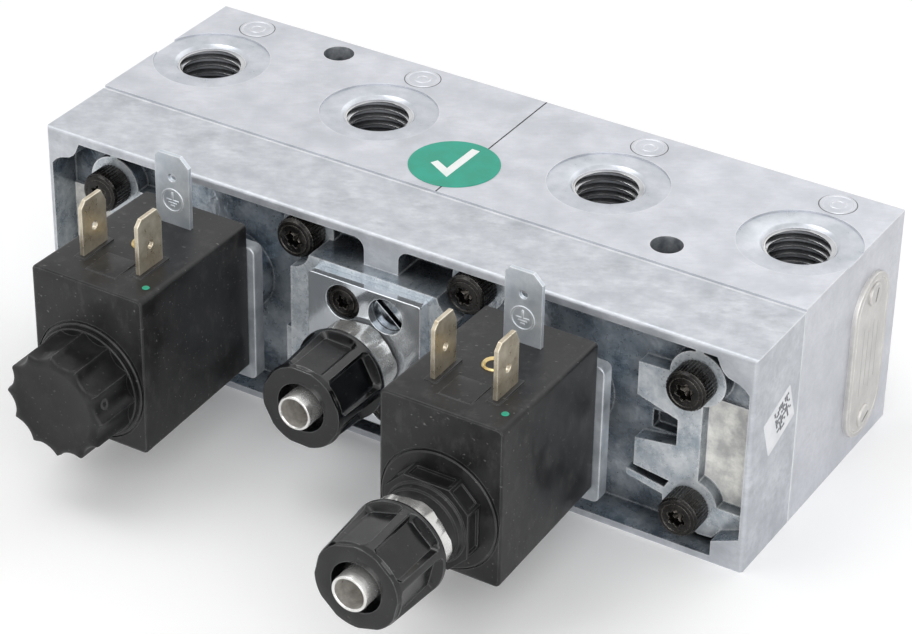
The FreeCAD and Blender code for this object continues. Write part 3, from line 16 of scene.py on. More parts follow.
import bmesh
import bpy
from mathutils import Euler, Matrix, Vector

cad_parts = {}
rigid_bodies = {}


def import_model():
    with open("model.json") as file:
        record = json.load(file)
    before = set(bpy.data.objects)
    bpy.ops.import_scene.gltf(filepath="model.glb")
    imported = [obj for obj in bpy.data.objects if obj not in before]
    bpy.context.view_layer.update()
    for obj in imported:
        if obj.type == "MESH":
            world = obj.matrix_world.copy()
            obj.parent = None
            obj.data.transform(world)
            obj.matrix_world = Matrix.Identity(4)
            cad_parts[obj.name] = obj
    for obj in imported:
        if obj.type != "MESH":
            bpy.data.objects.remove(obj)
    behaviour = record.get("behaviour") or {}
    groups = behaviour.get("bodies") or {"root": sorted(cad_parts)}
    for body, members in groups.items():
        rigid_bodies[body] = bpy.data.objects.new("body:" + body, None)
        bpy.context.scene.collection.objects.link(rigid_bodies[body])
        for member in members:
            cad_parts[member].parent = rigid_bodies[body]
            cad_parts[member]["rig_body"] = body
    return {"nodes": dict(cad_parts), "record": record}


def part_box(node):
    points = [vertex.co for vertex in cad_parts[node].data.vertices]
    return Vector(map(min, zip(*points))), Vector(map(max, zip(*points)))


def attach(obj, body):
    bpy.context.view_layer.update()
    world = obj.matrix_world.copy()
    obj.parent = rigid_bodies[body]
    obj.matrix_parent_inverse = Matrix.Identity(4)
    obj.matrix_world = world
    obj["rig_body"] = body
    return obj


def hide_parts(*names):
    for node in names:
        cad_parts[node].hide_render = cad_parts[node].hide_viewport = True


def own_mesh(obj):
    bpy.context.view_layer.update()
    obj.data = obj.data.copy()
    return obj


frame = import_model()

MM = 0.001
SIDES = ("left", "right")
WHITE = (1.0, 1.0, 1.0)
SIXTH = math.tau / 6
# Slack in millimetres when heights are compared and where a plane cuts
SAME_HEIGHT = 1e-3
CUT_SLACK = 1e-5

Rgb = tuple[int, int, int]
Colour = tuple[float, float, float]
Point = tuple[float, float]
Outline = Sequence[Point]
Row = tuple[Outline | float, float]
Inputs = Mapping[str | int, object]
Socket = bpy.types.NodeSocket
Object = bpy.types.Object

log = logging.getLogger("valve")


def paint(colour: Rgb) -> Colour:
    """Linear colour of an sRGB colour whose values go from 0 to 255."""
    shares = (value / 255 for value in colour)
    return tuple(s / 12.92 if s < 0.04045 else ((s + 0.055) / 1.055) ** 2.4 for s in shares)


def each(items: Iterable) -> list:
    """Every item once, in the order in which they come."""
    return list(dict.fromkeys(items))


class NodeSheet:
    """The nodes of one material or world, with short ways to write them."""

    def __init__(self, owner: bpy.types.Material | bpy.types.World, shader: str = "BsdfPrincipled",
                 output: str = "OutputMaterial") -> None:
        """Starts with only a shader and its output.

        Args:
            owner: what the nodes belong to.
            shader: the shader's type.
            output: the output's type.
        """
        owner.use_nodes = True
        self.owner = owner
        self.tree = owner.node_tree
        self.tree.nodes.clear()
        self.shader = self.node(shader)
        self.node(output, {"Surface": self.shader.outputs[0]})

    def node(self, kind: str, inputs: Inputs | None = None, **choices: object) -> bpy.types.Node:
        """Adds a node.

        Args:
            kind: the node's type.
            inputs: what its sockets get, as for feed.
            choices: properties to set on it.

        Returns:
            The node.
        """
        made = self.tree.nodes.new("ShaderNode" + kind)
        for name, value in choices.items():
            setattr(made, name, value)
        self.feed(made, inputs or {})
        return made

    def feed(self, node: bpy.types.Node, inputs: Inputs) -> None:
        """Links a node's sockets to outputs, or sets them to plain values.

        Args:
            node: the node.
            inputs: an output socket, a number or a colour for each socket's name or number.
        """
        for name, source in inputs.items():
            socket = node.inputs[name]
            if isinstance(source, Socket):
                self.tree.links.new(source, socket)
            elif isinstance(source, tuple) and len(socket.default_value) == 4:
                socket.default_value = (*source, 1.0)
            else:
                socket.default_value = source

    def surface(self, inputs: Inputs) -> bpy.types.Material:
        """Feeds the shader as feed does and gives its owner, the material."""
        self.feed(self.shader, inputs)
        return self.owner

    @cached_property
    def place(self) -> Socket:
        """The point on the valve that is shaded."""
        return self.node("TexCoord").outputs["Object"]

    def noise(self, size: float, detail: float = 4.0, stretch: Colour = (1.0, 1.0, 1.0), turn: float = 0.0,
              shift: float = 0.0, harsh: float = 0.5) -> Socket:
        """Cloudy pattern.

        Args:
            size: size of a patch in millimetres.
            detail: number of finer layers.
            stretch: how much longer a patch is along each axis.
            turn: turn of the pattern about Z in degrees.
            shift: moves the pattern, so that two of a size differ.
            harsh: weight of the finer layers.

        Returns:
            A value from 0 to 1.
        """
        mapping = self.node("Mapping", {
            "Vector": self.place, "Location": (shift, shift, shift), "Scale": stretch,
            "Rotation": (0.0, 0.0, math.radians(turn))}, vector_type="TEXTURE")
        pattern = self.node("TexNoise", {
            "Vector": mapping.outputs["Vector"], "Scale": 1 / (size * MM), "Detail": detail,
            "Roughness": harsh})
        return pattern.outputs["Fac"]

    def turning(self, size: float) -> Socket:
        """Fine lines round the axis of a turned piece.

        Args:
            size: width of a line in millimetres.

        Returns:
            A value from 0 to 1.
        """
        mark = self.node("Attribute", attribute_name=Piece.TURNED)
        pattern = self.node("TexNoise", {"W": mark.outputs["Fac"], "Scale": 1 / size, "Detail": 2.0},
                            noise_dimensions="1D")
        return pattern.outputs["Fac"]

    def span(self, source: object, low: float, high: float, start: float = 0.0, end: float = 1.0) -> Socket:
        """Spreads the range low to high of a value over start to end, and holds it there."""
        return self.node("MapRange", {"Value": source, "From Min": low, "From Max": high, "To Min": start,
                                      "To Max": end}).outputs["Result"]

    def maths(self, operation: str, first: object, second: object) -> Socket:
        """The result of one operation of the Math node."""
        return self.node("Math", {0: first, 1: second}, operation=operation).outputs["Value"]

    def mix(self, share: object, first: object, second: object, way: str = "MIX") -> Socket:
        """Mixes a share from 0 to 1 of the second colour with the first, in a blend type's way."""
        inputs = {"Fac": share, "Color1": first, "Color2": second}
        return self.node("MixRGB", inputs, blend_type=way).outputs["Color"]

    def edges(self, width: float) -> Socket:
        """How near a point is to an edge, which the finishes lighten for worn and faded edges and as a
        painted edge highlight.

        Args:
            width: how far the lightened edge reaches in millimetres.

        Returns:
            A value from 0 on a face to 1 on an edge.
        """
        eased = self.node("Bevel", {"Radius": width * MM}, samples=4).outputs["Normal"]
        plain = self.node("NewGeometry").outputs["Normal"]
        match = self.node("VectorMath", {0: eased, 1: plain}, operation="DOT_PRODUCT")
        return self.span(match.outputs["Value"], 0.99, 0.90)

    def hollows(self, reach: float) -> Socket:
        """How open a point is, from 0 in a corner to 1, looking round as far as the reach in millimetres."""
        looked = self.node("AmbientOcclusion", {"Distance": reach * MM}, samples=4, only_local=True)
        return looked.outputs["AO"]

    def bump(self, height: object, depth: float, under: Socket | None = None) -> Socket:
        """Raises the surface by a pattern, a depth in millimetres, on top of the bump under it."""
        lower = {} if under is None else {"Normal": under}
        return self.node("Bump", {"Distance": depth * MM, "Height": height, **lower}).outputs["Normal"]


@dataclass(frozen=True)
class Metal:
    """Bare or plated metal with patches, fine grain, rubbed edges that also carry a painted edge highlight,
    and, where set, painted shade in its hollows.
    """

    light: Rgb
    dark: Rgb
    edge: Rgb
    metallic: float = 1.0
    smooth: float = 0.25
    rough: float = 0.45
    patch: float = 6.0
    grain: float = 0.5
    depth: float = 0.006
    stretch: Colour = (1.0, 1.0, 1.0)
    turn: float = 0.0
    # Width in millimetres of the lightened edges: rubbing and a painted edge highlight together.
    edge_wear_and_highlight: float = 0.3
    # Strength of the painted shade in hollows: 1 leaves the colour alone, lower darkens shut-in corners as
    # shade.
    painted_hollow_shade: float = 1.0
    lathe_marks: float = 0.0
    mottle: float = 0.25
    scratches: float = 0.0
    shelter: float = 3.0
    harsh: float = 0.62
    smudges: float = 0.0
    waves: float = 0.0

    def write(self, name: str) -> bpy.types.Material:
        """Writes the material.

        Args:
            name: its name.

        Returns:
            The material.
        """
        sheet = NodeSheet(bpy.data.materials.new(name))
        light, dark, edge = paint(self.light), paint(self.dark), paint(self.edge)
        patches = sheet.noise(self.patch, 7.0, harsh=self.harsh)
        grain = sheet.noise(self.grain, 4.0, self.stretch, self.turn, shift=0.3, harsh=0.6)
        colour = sheet.mix(sheet.span(patches, 0.34, 0.64), dark, light)
        colour = sheet.mix(sheet.span(grain, 0.42, 0.72, 0.0, self.mottle), colour, dark)
        if self.scratches:
            lines = sheet.noise(0.24, 1.0, (34.0, 1.0, 1.0), self.turn, shift=0.11)
            marked = sheet.maths("MULTIPLY", sheet.span(lines, 0.60, 0.72), sheet.span(patches, 0.62, 0.40))
            colour = sheet.mix(sheet.maths("MULTIPLY", marked, self.scratches), colour, dark)
        if self.smudges:
            scuffs = sheet.noise(7.0, 9.0, (1.6, 1.0, 1.0), self.turn, shift=0.17, harsh=0.74)
            stain = sheet.span(scuffs, 0.53, 0.70, 0.0, self.smudges)
            colour = sheet.mix(stain, colour, tuple(0.62 * value for value in dark))
        # Painted shade: the colour is darkened where the surface is shut in, in corners and recesses, over
        # the shelter's reach.
        if self.painted_hollow_shade < 1.0:
            shade = sheet.span(sheet.hollows(self.shelter), 0.25, 0.9, self.painted_hollow_shade)
            colour = sheet.mix(1.0, colour, shade, "MULTIPLY")
        # Edges are lightened towards the edge colour, as rubbing and as a painted edge highlight.
        rubbed_and_lit_edges = sheet.maths("MULTIPLY", sheet.edges(self.edge_wear_and_highlight), sheet.span(patches, 0.3, 0.6, 0.4))
        uneven = sheet.maths("ADD", sheet.maths("MULTIPLY", patches, 0.6),
                             sheet.maths("MULTIPLY", grain, 0.4))
        normal = sheet.bump(grain, self.depth)
        if self.waves:
            normal = sheet.bump(sheet.noise(3.4, 3.0, shift=0.53), self.waves, normal)
        if self.lathe_marks:
            normal = sheet.bump(sheet.turning(0.12), self.lathe_marks, normal)
        return sheet.surface({
            "Base Color": sheet.mix(rubbed_and_lit_edges, colour, edge), "Metallic": self.metallic,
            "Roughness": sheet.span(uneven, 0.35, 0.65, self.smooth, self.rough), "Normal": normal})


@dataclass(frozen=True)
class Moulding:
    """Moulded plastic or rubber with a fine skin, dust and worn edges that also carry a painted edge
    highlight.
    """

    light: Rgb
    dark: Rgb
    edge: Rgb
    gloss: float = 0.5
    smooth: float = 0.35
    rough: float = 0.55
    grain: float = 0.18
    depth: float = 0.006
    # Width in millimetres of the lightened edges: rubbing and a painted edge highlight together.
    edge_wear_and_highlight: float = 0.25
    dust: float = 0.0
    DUST_COLOUR: ClassVar[Rgb] = (118, 117, 114)

    def write(self, name: str) -> bpy.types.Material:
        """Writes the material.

        Args:
            name: its name.

        Returns:
            The material.
        """
        sheet = NodeSheet(bpy.data.materials.new(name))
        patches = sheet.noise(5.0)
        grain = sheet.noise(self.grain, 2.0, shift=0.7)
        colour = sheet.mix(sheet.span(patches, 0.35, 0.65), paint(self.dark), paint(self.light))
        if self.dust:
            specks = sheet.noise(0.5, 1.0, (2.2, 1.0, 1.0), turn=35.0, shift=1.9)
            bloom = sheet.noise(2.2, 6.0, (1.0, 1.0, 1.8), turn=20.0, shift=0.4, harsh=0.7)
            dusty = sheet.maths("MAXIMUM", sheet.span(specks, 0.71, 0.76, 0.0, self.dust),
                                sheet.span(bloom, 0.52, 0.8, 0.0, self.dust * 0.35))
            colour = sheet.mix(dusty, colour, paint(self.DUST_COLOUR))
        # Edges are lightened towards the edge colour, as rubbing and as a painted edge highlight.
        rubbed_and_lit_edges = sheet.maths("MULTIPLY", sheet.edges(self.edge_wear_and_highlight), sheet.span(patches, 0.3, 0.6, 0.3, 0.9))
        return sheet.surface({
            "Base Color": sheet.mix(rubbed_and_lit_edges, colour, paint(self.edge)), "Specular IOR Level": self.gloss,
            "Roughness": sheet.span(patches, 0.35, 0.65, self.smooth, self.rough),
            "Normal": sheet.bump(grain, self.depth, sheet.bump(patches, self.depth * 4))})


@dataclass(frozen=True)
class Film:
    """Printed vinyl, paper or paint: one colour with faint fading."""

    colour: Rgb
    faded: Rgb
    smooth: float = 0.3
    rough: float = 0.45
    grain: float = 0.3

    def write(self, name: str) -> bpy.types.Material:
        """Writes the material.

        Args:
            name: its name.

        Returns:
            The material.
        """
        sheet = NodeSheet(bpy.data.materials.new(name))
        faded, patches = paint(self.faded), sheet.noise(4.0)
        colour = sheet.mix(sheet.span(patches, 0.4, 0.75), paint(self.colour), faded)
        return sheet.surface({
            "Base Color": sheet.mix(sheet.maths("MULTIPLY", sheet.edges(0.25), 0.5), colour, faded),
            "Roughness": sheet.span(patches, 0.3, 0.7, self.smooth, self.rough),
            "Normal": sheet.bump(sheet.noise(self.grain, 2.0), 0.004)})


class Finish(Enum):
    """Every finish on the valve."""

    TUMBLED_CAST = Metal((207, 210, 215), (180, 184, 190), (226, 228, 231), 0.7, 0.38, 0.58, 5.0, 1.0, 0.02,
                         (2.2, 1.0, 1.0), 24.0, 0.35, mottle=0.55, scratches=0.5, smudges=0.45)
    BODY_CAST = Metal((211, 213, 219), (192, 195, 201), (224, 226, 230), 0.7, 0.36, 0.54, 8.0, 0.8, 0.014,
                      (2.6, 1.0, 1.0), 32.0, 0.35, mottle=0.35, scratches=0.6, smudges=0.22)
    BORE = Metal((186, 189, 193), (128, 133, 139), (214, 216, 219), 0.6, 0.4, 0.6, 2.0, 0.5, 0.02, mottle=0.4)
    # Dark joint between the two bodies; also painted shade at the foot of each cast mark's raised ring.
    SEAM = Metal((92, 94, 98), (62, 64, 68), (120, 122, 124), 0.3, 0.6, 0.8, 3.0, 0.5, mottle=0.4)
    # Painted shade and painted dark bluish reflection for the recess walls and deep floor; the casting is the
    # same metal there.
    RAW_CAST = Metal((206, 213, 219), (122, 136, 149), (234, 237, 240), 0.66, 0.18, 0.42, 5.0, 1.0, 0.05,
                     edge_wear_and_highlight=0.55, painted_hollow_shade=0.14, mottle=0.5, shelter=7.0, waves=0.3)
    # Painted light: the front-facing platforms in the recess, made lighter than the same casting for the
    # light that falls on them.
    PLATFORM = Metal((232, 236, 239), (172, 183, 192), (248, 249, 250), 0.45, 0.18, 0.42, 3.5, 0.9, 0.04,
                     edge_wear_and_highlight=0.6, painted_hollow_shade=0.4, mottle=0.45, shelter=4.0, waves=0.22)
    # The rough pocket floor: its rough grain is real, its near-white colour is painted light falling into the
    # pocket.
    ROUGH_CAST = Metal((254, 252, 246), (188, 189, 187), (248, 248, 246), 0.05, 0.4, 0.6, 3.2, 0.6, 0.06,
                       edge_wear_and_highlight=0.4, mottle=0.25)
    MACHINED = Metal((207, 210, 216), (182, 187, 194), (214, 217, 221), 0.8, 0.26, 0.42, 5.0, 0.3, 0.002,
                     edge_wear_and_highlight=0.16, painted_hollow_shade=0.75, lathe_marks=0.004)
    THREAD = Metal((206, 207, 209), (176, 178, 181), (240, 240, 239), 0.9, 0.14, 0.24, 4.0, 0.4, 0.0005,
                   edge_wear_and_highlight=0.2, painted_hollow_shade=0.3, mottle=0.1, shelter=1.3, harsh=0.4)
    PLATED_STEEL = Metal((200, 205, 210), (160, 167, 174), (236, 237, 238), 0.55, 0.3, 0.48, 4.0, 0.5, 0.008,
                         (1.0, 1.0, 3.0), edge_wear_and_highlight=0.35)
    BRIGHT_PLATE = Metal((230, 234, 238), (208, 215, 222), (246, 248, 249), 0.78, 0.08, 0.22, 14.0, 0.4,
                         0.0008, (1.0, 1.0, 3.0), edge_wear_and_highlight=0.35, painted_hollow_shade=0.6, mottle=0.06, shelter=5.0, harsh=0.4)
    NICKEL = Metal((232, 232, 230), (214, 213, 210), (250, 249, 247), 0.75, 0.16, 0.3, 3.0, 0.3, 0.001,
                   edge_wear_and_highlight=0.22, lathe_marks=0.001, mottle=0.08, harsh=0.4)
    TUBE_BORE = Metal((232, 229, 224), (190, 186, 180), (246, 245, 242), 0.5, 0.26, 0.42, 1.6, 0.3, 0.002,
                      edge_wear_and_highlight=0.1, painted_hollow_shade=0.7)
    # Steel of the throttle screw, made darker as painted shade of its bore in the plate.
    NEEDLE = Metal((176, 182, 188), (84, 92, 100), (242, 244, 245), 1.0, 0.08, 0.2, 2.0, 0.4, 0.002, painted_hollow_shade=0.2)
    BLACK_OXIDE = Metal((44, 42, 40), (22, 21, 21), (136, 132, 126), 0.6, 0.16, 0.36, 1.4, 0.3, 0.008,
                        edge_wear_and_highlight=0.1, painted_hollow_shade=0.3)
    # Lighter socket steel: wear together with a painted highlight inside the socket.
    WORN_SOCKET = Metal((104, 98, 92), (44, 42, 40), (190, 186, 180), 0.9, 0.14, 0.3, 0.8, 0.2, 0.01,
                        edge_wear_and_highlight=0.1)
    TINNED_BRASS = Metal((212, 203, 184), (176, 163, 140), (244, 238, 222), 0.75, 0.24, 0.42, 3.0, 0.4, 0.004,
                         (1.0, 1.0, 2.5))
    ZINC = Metal((206, 212, 218), (178, 187, 196), (236, 239, 242), 0.6, 0.3, 0.48, 4.0, 0.4, 0.004,
                 (1.0, 1.0, 2.5))
    BRASS = Metal((210, 160, 92), (152, 104, 50), (246, 214, 156), 0.9, 0.2, 0.36, 2.0, 0.3, 0.003,
                  edge_wear_and_highlight=0.2, painted_hollow_shade=0.3, shelter=2.0)
    STEEL = Metal((178, 178, 176), (132, 132, 132), (220, 220, 218), 1.0, 0.2, 0.38, 4.0, 0.4, 0.004,
                  painted_hollow_shade=0.6)
    COPPER = Metal((196, 112, 66), (148, 76, 42), (226, 150, 104), 1.0, 0.25, 0.4, 3.0, 0.3)
    NAMEPLATE = Metal((213, 211, 208), (190, 188, 186), (232, 230, 227), 0.6, 0.32, 0.48, 5.0, 0.35, 0.004,
                      (1.0, 1.0, 9.0), painted_hollow_shade=0.6)
    # Pale gasket colour: a painted highlight for the lit edge along the seam.
    FIBRE = Moulding((236, 238, 240), (208, 211, 214), (240, 241, 242), 0.2, 0.6, 0.8)
    COIL_MOULDING = Moulding((41, 41, 42), (26, 26, 27), (92, 92, 92), 0.34, 0.3, 0.5, 0.22, 0.008, 0.26,
                             0.55)
    NUT_MOULDING = Moulding((33, 33, 34), (20, 20, 21), (88, 88, 88), 0.3, 0.3, 0.46, 0.2, 0.005, 0.25, 0.22)
    GLOSS_NYLON = Moulding((19, 20, 22), (10, 10, 12), (108, 109, 110), 0.5, 0.14, 0.26, 0.3, 0.002, 0.28,
                           0.2)
    RUBBER = Moulding((34, 34, 34), (22, 22, 22), (60, 60, 60), 0.3, 0.5, 0.7)
    GREEN_VINYL = Film((4, 150, 124), (22, 164, 140), 0.3, 0.42)
    WHITE_VINYL = Film((240, 243, 241), (222, 232, 228), 0.35, 0.5)
    GREEN_PAINT = Film((20, 150, 118), (36, 166, 134), 0.3, 0.5, 0.2)
    PAPER = Film((232, 233, 236), (214, 216, 221), 0.5, 0.65)
    GREY_PRINT = Film((70, 72, 78), (96, 98, 104), 0.5, 0.65)
    ETCHING = Film((172, 171, 170), (190, 189, 188), 0.5, 0.65)

    @property
    def material(self) -> bpy.types.Material:
        """The finish's material, written the first time it is asked for."""
        known = bpy.data.materials.get(self.name.lower())
        return known or self.value.write(self.name.lower())


class Facing(Enum):
    """Way that a turned piece looks: where its own X, Y and Z point."""

    FRONT = ((1, 0, 0), (0, 0, 1), (0, -1, 0))
    UP = ((1, 0, 0), (0, 1, 0), (0, 0, 1))
    RIGHT = ((0, 1, 0), (0, 0, 1), (1, 0, 0))

    def at(self, spot: Sequence[float], turn: float = 0.0) -> Matrix:
        """Place of a piece whose origin lies at a spot, turned about its own axis by degrees."""
        faced = Matrix(self.value).transposed().to_4x4()
        return Matrix.Translation(spot) @ faced @ Matrix.Rotation(math.radians(turn), 4, "Z")

    def on(self, axis_spot: Sequence[float], turn: float = 0.0) -> Matrix:
        """Place of a piece on an axis through a spot, where its heights count from the valve's origin."""
        return self.at([0.0 if way else value for value, way in zip(axis_spot, self.value[2])], turn)


@dataclass(frozen=True)
class Place:
    """Where a node of the frame lies, in millimetres."""

    low: Vector
    high: Vector

    @classmethod
    def of(cls, node: str) -> "Place":
        """The box of a node by its name."""
        low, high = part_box(node)
        return cls(low / MM, high / MM)

    @property
    def middle(self) -> Vector:
        """Middle of the box."""
        return (self.low + self.high) / 2

    @property
    def ends(self) -> Point:
        """Heights of the rear and the front face along the front axis."""
        return -self.high.y, -self.low.y

    def half(self, axis: int) -> float:
        """Half the length along an axis."""
        return (self.high[axis] - self.low[axis]) / 2


def solids_of(node: str) -> list[Place]:
    """Boxes of the separate solids in a node.

    Args:
        node: the node's name.

    Returns:
        One box for each solid, from left to right and then upwards.
    """
    shape = bmesh.new()
    shape.from_mesh(frame["nodes"][node].data)
    bmesh.ops.remove_doubles(shape, verts=shape.verts, dist=Piece.MERGE * MM)
    left = set(shape.verts)
    places = []
    while left:
        wave = {left.pop()}
        group = set(wave)
        while wave:
            wave = {e.other_vert(v) for v in wave for e in v.link_edges} - group
            group |= wave
        left -= group
        spots = [v.co / MM for v in group]
        places.append(Place(*(Vector(pick(s[i] for s in spots) for i in range(3)) for pick in (min, max))))
    shape.free()
    return sorted(places, key=lambda p: (round(p.middle.x, 1), round(p.middle.z, 1)))


def waved(radius: Callable[[float], float], count: int) -> list[Point]:
    """A count of points of a round outline whose radius changes with the angle in radians."""
    turns = [math.tau * i / count for i in range(count)]
    return [(radius(t) * math.cos(t), radius(t) * math.sin(t)) for t in turns]


def circle(radius: float, count: int) -> list[Point]:
    """Points of a circle of a radius."""
    return waved(lambda _: radius, count)


def rippled(radius: float, ripple: float, waves: int, count: int) -> list[Point]:
    """Points of a round outline with waves that reach inwards and outwards by the ripple."""
    return waved(lambda t: radius + ripple * math.cos(waves * t), count)


def hexagon(flat: float, limit: float, turn: float, count: int) -> list[Point]:
    """Points of a hexagon: flat is its sides' distance, limit turns its corners down, turn is in degrees."""
    start = math.radians(turn)
    return waved(lambda a: min(limit, flat / math.cos((a - start) % SIXTH - SIXTH / 2)), count)


def scaled(outline: Outline, by_x: float, by_y: float) -> list[Point]:
    """An outline made larger or smaller about its origin."""
    return [(x * by_x, y * by_y) for x, y in outline]


def towards(outline: Outline, radius: float) -> list[Point]:
    """Points of a circle, each on the line from its centre to a point of an outline."""
    turns = [math.atan2(y, x) for x, y in outline]
    return [(radius * math.cos(t), radius * math.sin(t)) for t in turns]


def rounded_box(half_x: float, half_y: float, corner: float, y: float = 0.0) -> list[Point]:
    """Points of a rectangle with round corners, the same number for any size.

    Args:
        half_x: half its width.
        half_y: half its height.
        corner: radius of the corners.
        y: height of its centre.

    Returns:
        The points, starting at the lower end of the right side.
    """
    arc, side = 7, 9
    points: list[Point] = []
    quarters = ((1, 1), (-1, 1), (-1, -1), (1, -1))
    centres = [(sx * (half_x - corner), y + sy * (half_y - corner)) for sx, sy in quarters]
    for number, (cx, cy) in enumerate(centres):
        turns = [math.pi / 2 * (number + step / (arc - 1)) for step in range(arc)]
        points += [(cx + corner * math.cos(t), cy + corner * math.sin(t)) for t in turns]
        (start_x, start_y), (ahead_x, ahead_y) = points[-1], centres[(number + 1) % 4]
        end_x, end_y = ahead_x + corner * math.cos(turns[-1]), ahead_y + corner * math.sin(turns[-1])
        for share in (step / (side + 1) for step in range(1, side + 1)):
            points.append((start_x + (end_x - start_x) * share, start_y + (end_y - start_y) * share))
    return points


def stadium(radius: float, half: float) -> list[Point]:
    """Points of an upright slot with round ends.

    Args:
        radius: radius of the ends.
        half: half the distance between the ends' centres.

    Returns:
        The points.
    """
    count = 24
    turns = [math.pi * i / (count - 1) for i in range(count)]
    upper = [(radius * math.cos(t), half + radius * math.sin(t)) for t in turns]
    return upper + scaled(upper, -1, -1)


class Piece:
    """One mesh in the making, in millimetres."""

    TURNED = "turned"
    WELD = 0.001
    MERGE = 0.002
    FLAT_ANGLE = math.radians(0.4)
    THREAD_SHAPE = ((0, 0.0), (0, 0.12), (1, 0.42), (1, 0.58), (0, 0.88), (0, 1.0))

    def __init__(self, node: str, way: str = "eased", name: str = "") -> None:
        """Starts an empty piece.

        Args:
            node: the frame node that it stands for, or the part that it lies on.
            way: how it is made, which ends its name.
            name: its whole name, where that isn't made of the two.
        """
        self.node = node
        self.name = name or f"{node}_{way}"
        self.mesh = bmesh.new()
        self.outward = True
        self.mesh.verts.layers.float.new(self.TURNED)

    @classmethod
    def copy_of(cls, node: str, name: str = "") -> "Piece":
        """A merged copy of a frame node with its flat faces joined.

        Args:
            node: the node's name.
            name: the name of the copy, where it isn't the node's with its ending.

        Returns:
            The piece.
        """
        piece = cls(node, name=name)
        piece.outward = False
        mesh = piece.mesh
        mesh.from_mesh(frame["nodes"][node].data)
        mesh.transform(Matrix.Scale(1 / MM, 4))
        bmesh.ops.remove_doubles(mesh, verts=mesh.verts, dist=cls.MERGE)
        bmesh.ops.dissolve_limit(mesh, angle_limit=cls.FLAT_ANGLE, verts=mesh.verts, edges=mesh.edges,
                                 use_dissolve_boundaries=False)
        for face in mesh.faces:
            face.material_index = 0
        return piece

    def painted(self, before: set, finish: int) -> list:
        """Gives the faces that are new since before a finish.

        Args:
            before: faces that were there.
            finish: number of the finish.

        Returns:
            The new faces.
        """
        fresh = [face for face in self.mesh.faces if face not in before]
        for face in fresh:
            face.material_index = finish
        return fresh

    def swept(self, profile: Iterable[Point], steps: int, finish: int, turns: int = 1,
              rise: float = 0.0) -> None:
        """Turns a profile round the axis and welds what it leaves.

        Args:
            profile: radius and height of its points.
            steps: number of steps in a turn.
            finish: number of its finish.
            turns: number of turns.
            rise: how far a turn climbs.
        """
        before = set(self.mesh.faces)
        spots = [self.mesh.verts.new((r, 0.0, h)) for r, h in profile]
        edges = [self.mesh.edges.new(pair) for pair in zip(spots, spots[1:])]
        bmesh.ops.spin(self.mesh, geom=spots + edges, cent=(0, 0, 0), axis=(0, 0, 1), angle=math.tau * turns,
                       dvec=(0, 0, rise / steps), steps=steps * turns, use_merge=not rise)
        fresh = self.painted(before, finish)
        verts = each([*(v for face in fresh for v in face.verts), *(v for v in spots if v.is_valid)])
        bmesh.ops.remove_doubles(self.mesh, verts=verts, dist=self.WELD)

    def lathe(self, profile: Outline, steps: int, finish: int = 0) -> None:
        """Turns a profile that starts and ends on the axis, or where it started, into a closed shape."""
        self.swept(profile, steps, finish)

    def loop(self, outline: Outline, height: float) -> list:
        """Adds a closed loop of edges.

        Args:
            outline: its points.
            height: where it lies along Z.

        Returns:
            The edges.
        """
        made = bmesh.ops.create_circle(self.mesh, segments=len(outline), radius=1.0)["verts"]
        for spot, (x, y) in zip(made, outline):
            spot.co = (x, y, height)
        return each(edge for spot in made for edge in spot.link_edges)

    def tube(self, rows: Sequence[Row], points: int, closed: bool = False) -> list[list]:
        """Bridges outlines one after the other.

        Args:
            rows: outline, or radius of a circle, and height of each loop.
            points: number of points of each circle.
            closed: whether the last loop joins the first, as on a ring.

        Returns:
            The edges of the first and of the last loop.
        """
        loops = [self.loop(circle(outline, points) if isinstance(outline, (int, float)) else outline, height)
                 for outline, height in rows]
        for lower, upper in zip(loops, loops[1:] + (loops[:1] if closed else [])):
            bmesh.ops.bridge_loops(self.mesh, edges=lower + upper)
        return [loops[0], loops[-1]]

    def skin(self, rows: Sequence[Row], points: int = 0, finish: int = 0, closed: bool = False) -> None:
        """Bridges outlines into a closed shape.

        Args:
            rows: outline, or radius of a circle, and height of each loop.
            points: number of points of each circle.
            finish: number of its finish.
            closed: whether the last loop joins the first, as on a ring.
        """
        before = set(self.mesh.faces)
        ends = self.tube(rows, points, closed)
        if not closed:
            for end in ends:
                bmesh.ops.edgeloop_fill(self.mesh, edges=end)
        self.painted(before, finish)

    def block(self, low: Sequence[float], high: Sequence[float], ease: float = 0.0, finish: int = 0) -> None:
        """Adds a box with eased edges.

        Args:
            low: lowest corner.
            high: highest corner.
            ease: width of the easing.
            finish: number of its finish.
        """
        before = set(self.mesh.faces)
        size = [b - a for a, b in zip(low, high)]
        middle = [(a + b) / 2 for a, b in zip(low, high)]
        matrix = Matrix.Translation(middle) @ Matrix.Diagonal((*size, 1.0))
        bmesh.ops.create_cube(self.mesh, size=1.0, matrix=matrix)
        if ease:
            fresh = [face for face in self.mesh.faces if face not in before]
            self.bevel((edge for face in fresh for edge in face.edges), ease)
        self.painted(before, finish)

    def bevel(self, geom: Iterable, width: float, segments: int = 2, affect: str = "EDGES") -> None:
        """Rounds edges or corners by a width, in a number of steps."""
        bmesh.ops.bevel(self.mesh, geom=each(geom), offset=width, offset_type="OFFSET", segments=segments,
                        profile=0.5, affect=affect, clamp_overlap=True, material=-1)

